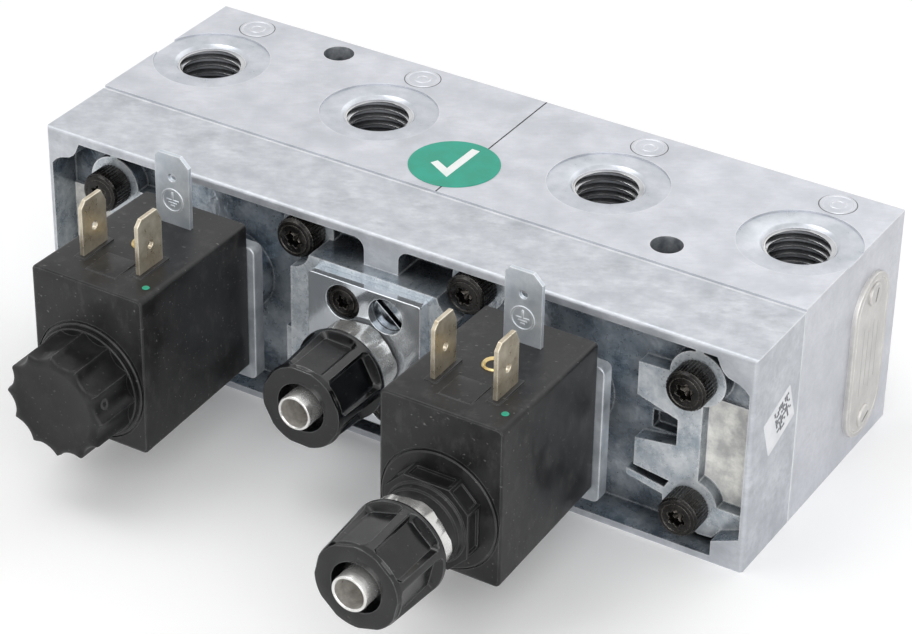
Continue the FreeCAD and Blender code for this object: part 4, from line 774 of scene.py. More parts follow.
    def panel(self, faces: list, margin: float, corner: float, depth: float, lip: float) -> None:
        """Sinks a panel with round corners into each face.

        Args:
            faces: flat faces.
            margin: how far the panel stays from the face's edge.
            corner: size of its round corners.
            depth: how deep it is.
            lip: how far its walls lean.
        """
        bmesh.ops.inset_individual(self.mesh, faces=faces, thickness=margin, depth=0.0, use_even_offset=True)
        middles = [face.calc_center_median() for face in faces]
        self.bevel((v for face in faces for v in face.verts), corner, 4, "VERTICES")
        found = []
        for middle in middles:
            near = [f for f in self.mesh.faces if (f.calc_center_median() - middle).length < margin]
            found.append(max(near, key=lambda f: f.calc_area()))
        bmesh.ops.inset_individual(self.mesh, faces=found, thickness=lip, depth=-depth, use_even_offset=True)

    def coil_of_wire(self, mean: float, wire: float, length: float, turns: float) -> None:
        """Adds a helical spring from height 0 to its length.

        Args:
            mean: radius of the helix.
            wire: diameter of the wire.
            length: outer length.
            turns: number of turns.
        """
        steps, sides = 40, 10
        count = round(turns * steps)
        matrix = Matrix.Translation((mean, 0, wire / 2)) @ Matrix.Rotation(math.pi / 2, 4, "X")
        ring = bmesh.ops.create_circle(self.mesh, cap_ends=True, segments=sides, radius=wire / 2,
                                       matrix=matrix)["verts"]
        faces = each(face for v in ring for face in v.link_faces)
        bmesh.ops.spin(self.mesh, geom=faces, cent=(0, 0, 0), axis=(0, 0, 1),
                       dvec=(0, 0, (length - wire) / count), angle=math.tau * turns, steps=count)

    def thread(self, root: float, crest: float, pitch: float, low: float, high: float, wall: float,
               steps: int, finish: int = 0) -> None:
        """Adds a closed sleeve with a screw thread inside.

        Args:
            root: radius at the bottom of the thread.
            crest: radius at its crest.
            pitch: rise of one turn.
            low: lower end.
            high: upper end.
            wall: outer radius of the sleeve.
            steps: steps in a turn.
            finish: number of its finish.
        """
        before = set(self.mesh.faces)
        shape = ((crest if top else root, low + (h - 1) * pitch) for top, h in self.THREAD_SHAPE)
        self.swept(shape, steps, finish, math.ceil((high - low) / pitch) + 1, pitch)
        for height, way in ((low, -1), (high, 1)):
            fresh = [face for face in self.mesh.faces if face not in before]
            geom = each([*fresh, *(e for f in fresh for e in f.edges), *(v for f in fresh for v in f.verts)])
            self.cut(geom, (0, 0, height), (0, 0, way))
        rims = []
        for height in (low, high):
            rim = [e for e in self.mesh.edges
                   if e.is_boundary and all(abs(v.co.z - height) < SAME_HEIGHT for v in e.verts)]
            made = bmesh.ops.extrude_edge_only(self.mesh, edges=rim)["geom"]
            for spot in made:
                if isinstance(spot, bmesh.types.BMVert):
                    spot.co.xy = spot.co.xy.normalized() * wall
            rims += [e for e in made if isinstance(e, bmesh.types.BMEdge)]
        bmesh.ops.bridge_loops(self.mesh, edges=rims)
        self.painted(before, finish)

    def cut(self, geom: list, spot: Sequence[float], way: Sequence[float]) -> list:
        """Cuts off what lies beyond a plane.

        Args:
            geom: points, edges and faces to cut.
            spot: a point of the plane.
            way: direction of what goes.

        Returns:
            The edges of the cut.
        """
        made = bmesh.ops.bisect_plane(self.mesh, geom=geom, dist=CUT_SLACK, plane_co=spot, plane_no=way,
                                      clear_outer=True)["geom_cut"]
        return [e for e in made if isinstance(e, bmesh.types.BMEdge)]

    def spread(self, places: Sequence[Matrix]) -> None:
        """Copies all there is to each place, in one mesh.

        Args:
            places: the matrix of each copy.
        """
        spots = list(self.mesh.verts)
        first = [*spots, *self.mesh.edges, *self.mesh.faces]
        for matrix in places[1:]:
            made = bmesh.ops.duplicate(self.mesh, geom=first)["geom"]
            copied = [v for v in made if isinstance(v, bmesh.types.BMVert)]
            bmesh.ops.transform(self.mesh, matrix=matrix, verts=copied)
        bmesh.ops.transform(self.mesh, matrix=places[0], verts=spots)

    def mark_turning(self) -> None:
        """Notes how far along its profile each point of a turned piece lies."""
        layer = self.mesh.verts.layers.float[self.TURNED]
        for spot in self.mesh.verts:
            spot[layer] = spot.co.xy.length + spot.co.z

    def face_outward(self) -> None:
        """Turns every closed shell so that its faces point outwards."""
        bmesh.ops.recalc_face_normals(self.mesh, faces=self.mesh.faces)
        left = set(self.mesh.faces)
        while left:
            shell: set[bmesh.types.BMFace] = set()
            wave = {left.pop()}
            while wave:
                shell |= wave
                wave = {near for face in wave for edge in face.edges for near in edge.link_faces} - shell
            left -= shell
            corners = [[v.co for v in face.verts] for face in shell]
            volume = sum(c[0].dot(a.cross(b)) for c in corners for a, b in zip(c[1:], c[2:]))
            if volume < 0:
                bmesh.ops.reverse_faces(self.mesh, faces=list(shell))

    def done(self, slot: str, *finishes: Finish, body: str = "block", matrix: Matrix | None = None,
             crease: float = 34.0, ease: float = 0.0, added: bool = False) -> Object:
        """Makes the object and says what carries it.

        Args:
            slot: the record's material slot; not used.
            finishes: its finishes, in the order of their numbers.
            body: the body it rides on.
            matrix: turn and place of the piece.
            crease: angle in degrees above which an edge stays sharp.
            ease: width of a rounding on every sharp edge.
            added: whether it adds to its node instead of standing for it.

        Returns:
            The object.
        """
        if matrix is not None:
            self.mesh.transform(matrix)
        if self.outward:
            self.face_outward()
        for face in self.mesh.faces:
            face.smooth = True
        for edge in self.mesh.edges:
            edge.smooth = edge.calc_face_angle(0.0) < math.radians(crease)
        self.mesh.transform(Matrix.Scale(MM, 4))
        data = bpy.data.meshes.new(self.name)
        self.mesh.to_mesh(data)
        self.mesh.free()
        shaped = data.attributes.get("custom_normal")
        if shaped is not None:
            data.attributes.remove(shaped)
        for finish in finishes:
            data.materials.append(finish.material)
        made = bpy.data.objects.new(self.name, data)
        bpy.context.scene.collection.objects.link(made)
        if ease:
            rounding = made.modifiers.new("eased_edges", "BEVEL")
            rounding.width = ease * MM
            rounding.segments = 2
            rounding.limit_method = "ANGLE"
            rounding.angle_limit = math.radians(crease)
            rounding.harden_normals = True
        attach(made, body)
        if not added:
            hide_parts(self.node)
        return made


class SubAssembly:
    """What every sub-assembly of the valve can do."""

    def build(self) -> list[Object]:
        """Makes its pieces."""
        raise NotImplementedError


@dataclass
class FrontCasting(SubAssembly):
    """Front casting: tumbled outside; inside its recess painted shade and a painted dark reflection, with
    painted light on the front-facing platforms and on the rough pocket floor.
    """

    node: str = "front_casting"
    ease: float = 0.22
    face_y: float = -27.0
    rim_end: float = 0.6
    rim_bottom: float = 0.7
    rim_top: float = 0.9
    platform_depth: float = 3.5
    floor_depth: float = 6.3
    below_floor: float = 3.0
    rough_rise: float = 0.4
    rough_start: float = 57.7
    slack: float = 0.1

    def build(self) -> list[Object]:
        """Makes the dressed casting.

        Returns:
            Its piece.
        """
        place = Place.of(self.node)
        piece = Piece.copy_of(self.node, "casting_front_eased")
        for face in piece.mesh.faces:
            face.material_index = self.finish_of(face, place)
        finishes = (Finish.TUMBLED_CAST, Finish.RAW_CAST, Finish.PLATFORM, Finish.ROUGH_CAST)
        return [piece.done("casting", *finishes, ease=self.ease)]

    def finish_of(self, face: bmesh.types.BMFace, place: Place) -> int:
        """Which finish a face of the casting has.

        Args:
            face: the face.
            place: the casting's box.

        Returns:
            The number of the finish.
        """
        spot = face.calc_center_median()
        depth = spot.y - self.face_y
        inside_x = abs(spot.x) < place.high.x - self.rim_end
        inside_z = place.low.z + self.rim_bottom < spot.z < place.high.z - self.rim_top
        if not (inside_x and inside_z) or depth > self.floor_depth + self.below_floor:
            return 0
        # Recess walls: painted shade and dark reflection.
        if face.normal.y >= -0.9:
            return 1
        if abs(depth) < self.slack:
            return 0
        rough_depth = self.floor_depth - self.rough_rise
        # Rough pocket floor: painted light on its rough grain.
        if abs(depth - rough_depth) < self.slack and abs(spot.x) > self.rough_start:
            return 3
        # Front-facing platforms painted light; the deep floor painted shade and dark reflection.
        return 2 if depth < self.platform_depth + self.slack else 1


@dataclass
class BodyGasket(SubAssembly):
    """Gasket, pressed out nearly flush between the casting and the bodies, and coloured pale as a painted
    highlight along the seam.
    """

    node: str = "body_gasket"
    below: float = 0.07
    slack: float = 0.05

    def build(self) -> list[Object]:
        """Makes the gasket.

        Returns:
            Its piece.
        """
        place, casting = Place.of(self.node), Place.of("front_casting")
        piece = Piece.copy_of(self.node, "body_gasket_pressed")
        for spot in piece.mesh.verts:
            for axis in (0, 2):
                if abs(spot.co[axis] - place.low[axis]) < self.slack:
                    spot.co[axis] = casting.low[axis] + self.below
                elif abs(spot.co[axis] - place.high[axis]) < self.slack:
                    spot.co[axis] = casting.high[axis] - self.below
        return [piece.done("gasket", Finish.FIBRE)]


@dataclass
class RearBlock(SubAssembly):
    """Two rear bodies with their threaded ports and cast marks."""

    ease: float = 0.2
    split_reach: float = 0.2
    hole_reach: float = 3.4
    face_radius: float = 10.34
    face_depth: float = 0.28
    mouth_radius: float = 6.62
    thread_root: float = 6.02
    thread_crest: float = 5.2
    pitch: float = 1.5
    thread_depth: float = 12.4
    sleeve_radius: float = 6.4
    edge_gap: float = 0.12
    mark_y: float = 22.05
    mark_radius: float = 3.3
    mark_height: float = 0.16
    mark_groove: float = 0.16

    def build(self) -> list[Object]:
        """Makes the bodies, ports and marks.

        Returns:
            The pieces.
        """
        made = []
        spots = {m["name"]: Vector(m["pos_m"]) / MM for m in frame["record"]["mounts"]}
        holes = [spot for name, spot in spots.items() if name.startswith("mounting_hole")]
        for side in SIDES:
            piece = Piece.copy_of("valve_body_" + side, f"body_{side}_eased")
            for face in piece.mesh.faces:
                face.material_index = self.finish_of(face, holes)
            made.append(piece.done("body", Finish.BODY_CAST, Finish.SEAM, Finish.BORE, ease=self.ease))
        high = Place.of("valve_body_right").high
        for name, spot in spots.items():
            if name.startswith("port_"):
                made.append(self.port(name, spot, high))
                made.append(self.mark(name, spot.x, high.z))
        return made

    def finish_of(self, face: bmesh.types.BMFace, holes: Sequence[Vector]) -> int:
        """Which finish a face of a body has.

        Args:
            face: the face.
            holes: a point on the axis of each mounting hole.

        Returns:
            The number of the finish.
        """
        if abs(face.calc_center_median().x) < self.split_reach:
            return 1
        walls = abs(face.normal.z) < 0.3
        corners = [v.co.xy for v in face.verts]
        near = any(all((spot - hole.xy).length < self.hole_reach for spot in corners) for hole in holes)
        return 2 if walls and near else 0

    def port(self, name: str, spot: Vector, high: Vector) -> Object:
        """Makes a port's machined face, its mouth and its thread.

        Args:
            name: the port's name.
            spot: a point on its axis.
            high: the block's highest corner.

        Returns:
            The piece.
        """
        piece = Piece(name, "machined")
        outer, inner = self.face_radius, self.mouth_radius
        root, sleeve = self.thread_root, self.sleeve_radius
        face = high.z - self.face_depth
        mouth, seat = face - (inner - root), face - 0.25
        piece.lathe([(outer, seat), (outer, face), (inner, face), (inner - 0.1, face - 0.04), (root, mouth),
                     (root, mouth - 0.3), (sleeve, mouth - 0.3), (sleeve + 0.4, seat), (outer, seat)], 96)
        limit = high.x - self.edge_gap
        for way in (-1, 1):
            geom = [*piece.mesh.verts, *piece.mesh.edges, *piece.mesh.faces]
            rim = piece.cut(geom, (way * limit - spot.x, 0, 0), (way, 0, 0))
            bmesh.ops.holes_fill(piece.mesh, edges=rim, sides=0)
        piece.thread(root, self.thread_crest, self.pitch, face - self.thread_depth, mouth - 0.02, sleeve,
                     48, 1)
        piece.mark_turning()
        return piece.done("body", Finish.MACHINED, Finish.THREAD, matrix=Facing.UP.on(spot), added=True)

    def mark(self, name: str, x: float, top: float) -> Object:
        """Makes the plain round cast mark behind a port.

        Args:
            name: the port's name.
            x: where it lies along the block.
            top: height of the top face.

        Returns:
            The piece.
        """
        piece = Piece(name, "cast_mark")
        outer, inner = self.mark_radius, self.mark_radius - self.mark_groove
        low, floor, hub = top - 0.3, top + 0.03, top + 0.04
        ring, boss = top + self.mark_height, top + self.mark_height * 0.7
        piece.lathe([(0, low), (outer, low), (outer, top + 0.01), (inner, top + 0.012), (inner - 0.1, ring),
                     (inner - 0.5, ring), (inner - 0.62, floor), (1.5, floor), (1.4, boss), (1.0, boss),
                     (0.9, hub), (0, hub)], 48)
        # The flat ring round the foot of the raised ring gets the dark finish: painted shade.
        for face in piece.mesh.faces:
            spot = face.calc_center_median()
            face.material_index = int(inner < spot.xy.length < outer and spot.z > top)
        return piece.done("body", Finish.BODY_CAST, Finish.SEAM, matrix=Facing.UP.on((x, self.mark_y, 0)),
                          added=True)


@dataclass
class HousingScrews(SubAssembly):
    """Eight black screws with a knurled head and a six-lobed socket."""

    node: str = "housing_screws"
    points: int = 144
    head_height: float = 4.6
    head_radius: float = 3.58
    shank_radius: float = 2.0
    knurls: int = 36
    half_knurl: float = 0.06
    socket_radius: float = 1.3
    socket_lobe: float = 0.22
    socket_depth: float = 1.5
    turn_step: float = 37.0

    def build(self) -> list[Object]:
        """Makes the screws as one group.

        Returns:
            Their piece.
        """
        solids = solids_of(self.node)
        tip, face = solids[0].ends
        head, shank = self.head_radius, self.shank_radius
        under, bottom = face - self.head_height, face - self.socket_depth
        knurled = rippled(head - self.half_knurl, self.half_knurl, self.knurls, self.points)
        socket = rippled(self.socket_radius, self.socket_lobe, 6, self.points)
        piece = Piece(self.node, "turned")
        piece.skin([(shank - 0.4, tip), (shank, tip + 0.4), (shank, under), (head - 0.35, under),
                    (knurled, under + 0.25), (knurled, face - 0.6), (head - 0.2, face - 0.5),
                    (head - 0.35, face - 0.12), (head - 0.6, face), (head - 0.95, face),
                    (head - 1.05, face - 0.09), (head - 1.2, face), (scaled(socket, 1.12, 1.12), face),
                    (socket, face - 0.2), (socket, bottom), (scaled(socket, 0.3, 0.3), bottom - 0.35)],
                   self.points)
        # Socket walls and bottom get the lighter socket finish: wear together with a painted highlight.
        for wall in piece.mesh.faces:
            spot = wall.calc_center_median()
            wall.material_index = int(under < spot.z < face - 1.0 and spot.xy.length < self.socket_radius)
        piece.mark_turning()
        piece.spread([Facing.FRONT.on(s.middle, self.turn_step * number) for number, s in enumerate(solids)])
        return [piece.done("screw", Finish.BLACK_OXIDE, Finish.WORN_SOCKET, crease=40)]


@dataclass
class AdapterPlate(SubAssembly):
    """Bright plate between the coils with its two flush screws and the throttle screw."""

    screw_node: str = "adapter_screws"
    points: int = 96
    plate_ease: float = 0.22
    throttle_ease: float = 0.12
    head_gap: float = 0.05
    head_height: float = 1.9
    shank_radius: float = 1.5
    knurls: int = 24
    half_knurl: float = 0.04
    socket_radius: float = 1.02
    socket_lobe: float = 0.2
    socket_depth: float = 1.3

    def build(self) -> list[Object]:
        """Makes the plate and its screws.

        Returns:
            The pieces.
        """
        plate, throttle = Piece.copy_of("adapter_plate"), Piece.copy_of("throttle_screw")
        return [
            plate.done("adapter", Finish.BRIGHT_PLATE, ease=self.plate_ease),
            self.screws(),
            throttle.done("fitting", Finish.NEEDLE, body="throttle_screw", ease=self.throttle_ease),
        ]

    def screws(self) -> Object:
        """Makes the two flush screws.

        Returns:
            Their piece.
        """
        solids = solids_of(self.screw_node)
        tip, face = solids[0].ends
        head, shank = solids[0].half(0) - self.head_gap, self.shank_radius
        under, bottom = face - self.head_height, face - self.socket_depth
        knurled = rippled(head - self.half_knurl, self.half_knurl, self.knurls, self.points)
        socket = rippled(self.socket_radius, self.socket_lobe, 6, self.points)
        piece = Piece(self.screw_node, "turned")
        piece.skin([(shank, tip), (shank, under), (head - 0.2, under), (knurled, under + 0.2),
                    (knurled, face - 0.35), (head - 0.35, face - 0.04), (head - 0.6, face),
                    (head - 0.9, face), (head - 1.0, face - 0.08), (head - 1.1, face),
                    (scaled(socket, 1.1, 1.1), face), (socket, face - 0.15), (socket, bottom),
                    (scaled(socket, 0.3, 0.3), bottom - 0.2)], self.points)
        piece.spread([Facing.FRONT.on(s.middle) for s in solids])
        return piece.done("screw", Finish.BLACK_OXIDE, crease=40)


@dataclass
class Solenoid(SubAssembly):
    """One coil with its base plate, blades, earth tab, insert and green dot."""

    side: str
    dot: Point
    draft: float = 0.6
    corner: float = 1.0
    front_round: float = 0.35
    disc_radius: float = 10.3
    disc_height: float = 0.4
    groove: float = 0.35
    bore_radius: float = 5.1
    stem_z: float = 20.3
    pad_height: float = 0.07
    blade_pad: Point = (1.1, 3.9)
    insert_pad: Point = (2.9, 3.0)
    insert_pad_ahead: float = 8.6
    dot_radius: float = 0.62
    sign_height: float = 4.1
    sign_radius: float = 2.0
    insert_hole: float = 1.25
    plate_ease: float = 0.25
    blade_ease: float = 0.14
    tab_ease: float = 0.12
    SIGN_BARS: ClassVar[Sequence[tuple[float, float, float]]] = (
        (0.75, 0.16, 0.75), (0.0, 1.2, 0.15), (-0.5, 0.8, 0.15), (-1.0, 0.4, 0.15))

    def build(self) -> list[Object]:
        """Makes the coil and all that it carries.

        Returns:
            The pieces.
        """
        plate, blades = Piece.copy_of("base_plate_" + self.side), Piece.copy_of("coil_blades_" + self.side)
        return [
            self.moulding(),
            plate.done("plate", Finish.PLATED_STEEL, ease=self.plate_ease),
            blades.done("contact", Finish.TINNED_BRASS, ease=self.blade_ease),
            self.earth_tab(),
            self.insert(),
        ]

    def moulding(self) -> Object:
        """Makes the black moulding with its front disc, its bore and its top pads.

        Returns:
            The piece.
        """
        piece = Piece("coil_" + self.side, "moulded")
        place = Place.of(piece.node)
        middle, half_x, half_z = place.middle, place.half(0), place.half(2)
        shift = middle.z - self.stem_z
        rear, raised = place.ends
        face = raised - self.disc_height
        ease, draft, bore, disc = self.front_round, self.draft, self.bore_radius, self.disc_radius

        def box(shrink: float) -> list[Point]:
            """The coil's outline, smaller by shrink on every side."""
            return rounded_box(half_x - shrink, half_z - shrink, max(self.corner - shrink * 0.5, 0.4), shift)

        front = box(ease)
        rows = [(towards(front, bore), rear), (box(draft + 0.25), rear), (box(draft), rear + 0.25),
                (box(draft / 2), (rear + face) / 2), (box(0), face - ease)]
        for turn in (math.radians(30), math.radians(60)):
            rows.append((box(ease * (1 - math.cos(turn))), face - ease * (1 - math.sin(turn))))
        rows += [(front, face), (towards(front, disc + self.groove), face),
                 (towards(front, disc + self.groove * 0.8), face - 0.3), (towards(front, bore), face - 0.3)]
        piece.skin(rows, closed=True)
        piece.lathe([(bore, face - 0.4), (disc, face - 0.4), (disc, raised - 0.15), (disc - 0.2, raised),
                     (bore + 0.3, raised), (bore, raised - 0.3), (bore, face - 0.4)], 96)
        top = half_z + shift
        insert = Place.of("terminal_insert_" + self.side).middle
        pads = [(b.middle.x, b.middle.y, *self.blade_pad) for b in solids_of("coil_blades_" + self.side)]
        pads.append((insert.x, insert.y - self.insert_pad_ahead, *self.insert_pad))
        for pad_x, pad_y, half_w, half_l in pads:
            x, y = pad_x - middle.x, -pad_y
            piece.block((x - half_w, top - 0.4, y - half_l), (x + half_w, top + self.pad_height, y + half_l),
                        0.09)
        dot_x, dot_y = self.dot
        r = self.dot_radius
        piece.lathe([(0, 0), (r, 0), (r * 0.9, 0.07), (r * 0.4, 0.12), (0, 0.13)], 20, 1)
        dot_verts = each(v for f in piece.mesh.faces if f.material_index == 1 for v in f.verts)
        upright = Matrix.Rotation(-math.pi / 2, 4, "X")
        bmesh.ops.transform(piece.mesh, verts=dot_verts,
                            matrix=Matrix.Translation((dot_x - middle.x, top - 0.01, -dot_y)) @ upright)
        return piece.done("coil", Finish.COIL_MOULDING, Finish.GREEN_PAINT,
                          matrix=Facing.FRONT.on((middle.x, 0, self.stem_z)))

    def earth_tab(self) -> Object:
        """Makes the earth tab with its raised earth sign.

        Returns:
            The piece.
        """
        piece = Piece.copy_of("earth_tab_" + self.side)
        place = Place.of(piece.node)
        face, r = place.ends[1], self.sign_radius
        low, high = face - 0.1, face + 0.14
        sign = Piece("earth_sign")
        sign.lathe([(r - 0.2, low), (r - 0.12, high), (r + 0.12, high), (r + 0.2, low), (r - 0.2, low)], 40)
        for z, half_w, half_h in self.SIGN_BARS:
            sign.block((-half_w, z - half_h, low), (half_w, z + half_h, face + 0.13), 0.06)
        bmesh.ops.recalc_face_normals(sign.mesh, faces=sign.mesh.faces)
        foot = Place.of("coil_" + self.side).high.z
        sign.mesh.transform(Facing.FRONT.on((place.middle.x, 0, foot + self.sign_height)))
        raised = bpy.data.meshes.new("earth_sign")
        sign.mesh.to_mesh(raised)
        sign.mesh.free()
        piece.mesh.from_mesh(raised)
        bpy.data.meshes.remove(raised)
        return piece.done("tab", Finish.ZINC, ease=self.tab_ease)

    def insert(self) -> Object:
        """Makes the threaded brass insert.

        Returns:
            The piece.
        """
        piece = Piece("terminal_insert_" + self.side, "turned")
        place = Place.of(piece.node)
        radius, hole = place.half(0), self.insert_hole
        top, low = place.high.z, place.low.z
        piece.lathe([(0, low), (radius, low), (radius, top - 0.25), (radius - 0.2, top), (hole + 0.45, top),
                     (hole + 0.1, top - 0.35), (hole + 0.1, low + 1.0), (0, low + 1.0)], 40)
        piece.thread(hole + 0.08, hole - 0.18, 0.5, low + 1.2, top - 0.5, hole + 0.3, 28)
        piece.mark_turning()
        return piece.done("brass", Finish.BRASS, matrix=Facing.UP.on(place.middle))


@dataclass
class CapNut(SubAssembly):
    """Black cap nut of the left stem, with twelve ridges and a vent."""

    node: str = "cap_nut"
    ridges: int = 12
    steps: int = 12
    tip_radius: float = 9.6
    scallop_radius: float = 3.4
    scallop_offset: float = 11.9
    flange: float = 0.8
    flange_radius: float = 9.7
    bore_radius: float = 5.06
    bore_depth: float = 6.0
    room_radius: float = 3.6
    room_depth: float = 7.6
    centre_radius: float = 0.6
    vent_angle: float = 15.0
    vent_radius: float = 0.6

    def radius(self, turn: float, shrink: float) -> float:
        """Radius of the ridged outline.

        Args:
            turn: the angle in radians.
            shrink: how much smaller the outline is.

        Returns:
            The radius.
        """
        pitch = math.tau / self.ridges
        off = (turn % pitch) - pitch / 2
        across = self.scallop_offset * math.sin(off)
        scallop = self.scallop_radius + shrink
        tip = self.tip_radius - shrink
        if abs(across) >= scallop:
            return tip
        return min(tip, self.scallop_offset * math.cos(off) - math.sqrt(scallop ** 2 - across ** 2))

    def build(self) -> list[Object]:
        """Makes the cap nut.

        Returns:
            Its piece.
        """
        place = Place.of(self.node)
        rear, face = place.ends
        points = self.ridges * self.steps
        flange, wide, bore, room = rear + self.flange, self.flange_radius, self.bore_radius, self.room_radius
        shrunk = ((0.0, flange + 0.02), (0.03, (flange + face) / 2), (0.06, face - 0.7), (0.16, face - 0.35),
                  (0.38, face - 0.12), (0.7, face))
        ridged = [(waved(lambda t: self.radius(t, shrink), points), height) for shrink, height in shrunk]
        piece = Piece(self.node, "moulded")
        piece.skin([(bore, rear), (wide - 0.2, rear), (wide, rear + 0.2), (wide, flange - 0.15),
                    (wide - 0.15, flange), *ridged, (7.2, face), (6.9, face - 0.08), (3.0, face - 0.1),
                    (self.centre_radius, face - 0.1)], points)
        caps = [f for f in piece.mesh.faces
                if len(f.verts) == points and f.calc_center_median().z < rear + 0.1]
        bmesh.ops.delete(piece.mesh, geom=caps, context="FACES_ONLY")
        step, end = rear + self.bore_depth, rear + self.room_depth
        inner = piece.tube([(bore, rear), (bore, step), (room, step), (room, end),
                            (self.centre_radius, end)], points)
        bmesh.ops.edgeloop_fill(piece.mesh, edges=inner[1])
        bmesh.ops.remove_doubles(piece.mesh, verts=piece.mesh.verts, dist=Piece.WELD)
        self.vent(piece, (step + end) / 2)
        return [piece.done("nut", Finish.NUT_MOULDING, Finish.RUBBER, body=self.node,
                           matrix=Facing.FRONT.on(place.middle), crease=28)]

    def vent(self, piece: Piece, height: float) -> None:
        """Adds the vent's rim and its dark bore in one valley.

        Args:
            piece: the cap nut.
            height: where it lies along the nut.
        """
        before = set(piece.mesh.faces)
        r = self.vent_radius
        piece.lathe([(0, -1.2), (r + 0.25, -1.2), (r + 0.25, 0.06), (r, 0.1), (r * 0.9, 0.0), (r * 0.9, -0.9),
                     (0, -0.9)], 20, 1)
        spots = each(v for f in piece.mesh.faces if f not in before for v in f.verts)
        turn = Matrix.Rotation(math.radians(self.vent_angle), 4, "Z")
        out = Matrix.Translation((self.scallop_offset - self.scallop_radius, 0, height))
        bmesh.ops.transform(piece.mesh, matrix=turn @ out @ Matrix.Rotation(math.pi / 2, 4, "Y"), verts=spots)


@dataclass
class CoilNut(SubAssembly):
    """Black nut of the right stem: cut corners, framed flats and a stepped neck."""

    node: str = "coil_nut"
    flat: float = 8.1
    height: float = 3.7
    neck_rear: float = 6.9
    neck_front: float = 6.1
    bore_radius: float = 5.06

    def build(self) -> list[Object]:
        """Makes the nut.

        Returns:
            Its piece.
        """
        place = Place.of(self.node)
        rear, tip = place.ends
        face = rear + self.height
        half, flat = place.half(0), self.flat / 2
        corners = [(half, -flat), (half, flat), (flat, half), (-flat, half), (-half, flat), (-half, -flat),
                   (-flat, -half), (flat, -half)]
        piece = Piece(self.node, "moulded")
        piece.skin([(corners, rear), (corners, face)])
        straight = [f for f in piece.mesh.faces if max(abs(f.normal.x), abs(f.normal.y)) > 0.99]
        piece.panel(straight, 0.55, 0.35, 0.4, 0.12)
        slanted = [f for f in piece.mesh.faces if abs(f.normal.z) < 0.1 and f.calc_area() > 10
                   and max(abs(f.normal.x), abs(f.normal.y)) < 0.9]
        piece.panel(slanted, 0.5, 0.3, 0.25, 0.12)
        piece.bevel((e for e in piece.mesh.edges if e.calc_face_angle(0) > 1.0 and all(
            min(abs(v.co.z - face), abs(v.co.z - rear)) < SAME_HEIGHT for v in e.verts)), 0.2)
        bore, wide, slim = self.bore_radius, self.neck_rear, self.neck_front
        piece.lathe([(bore, face - 0.5), (wide + 0.25, face - 0.5), (wide + 0.25, face + 0.25),
                     (wide, face + 0.45), (wide - 0.15, face + 1.4), (wide - 0.45, face + 1.6),
                     (slim + 0.25, tip - 0.9), (slim + 0.1, tip - 0.25), (slim - 0.15, tip),
                     (bore + 0.2, tip), (bore, tip - 0.2), (bore, face - 0.5)], 64)
        return [piece.done("nut", Finish.NUT_MOULDING, body=self.node, matrix=Facing.FRONT.on(place.middle),
                           crease=30)]


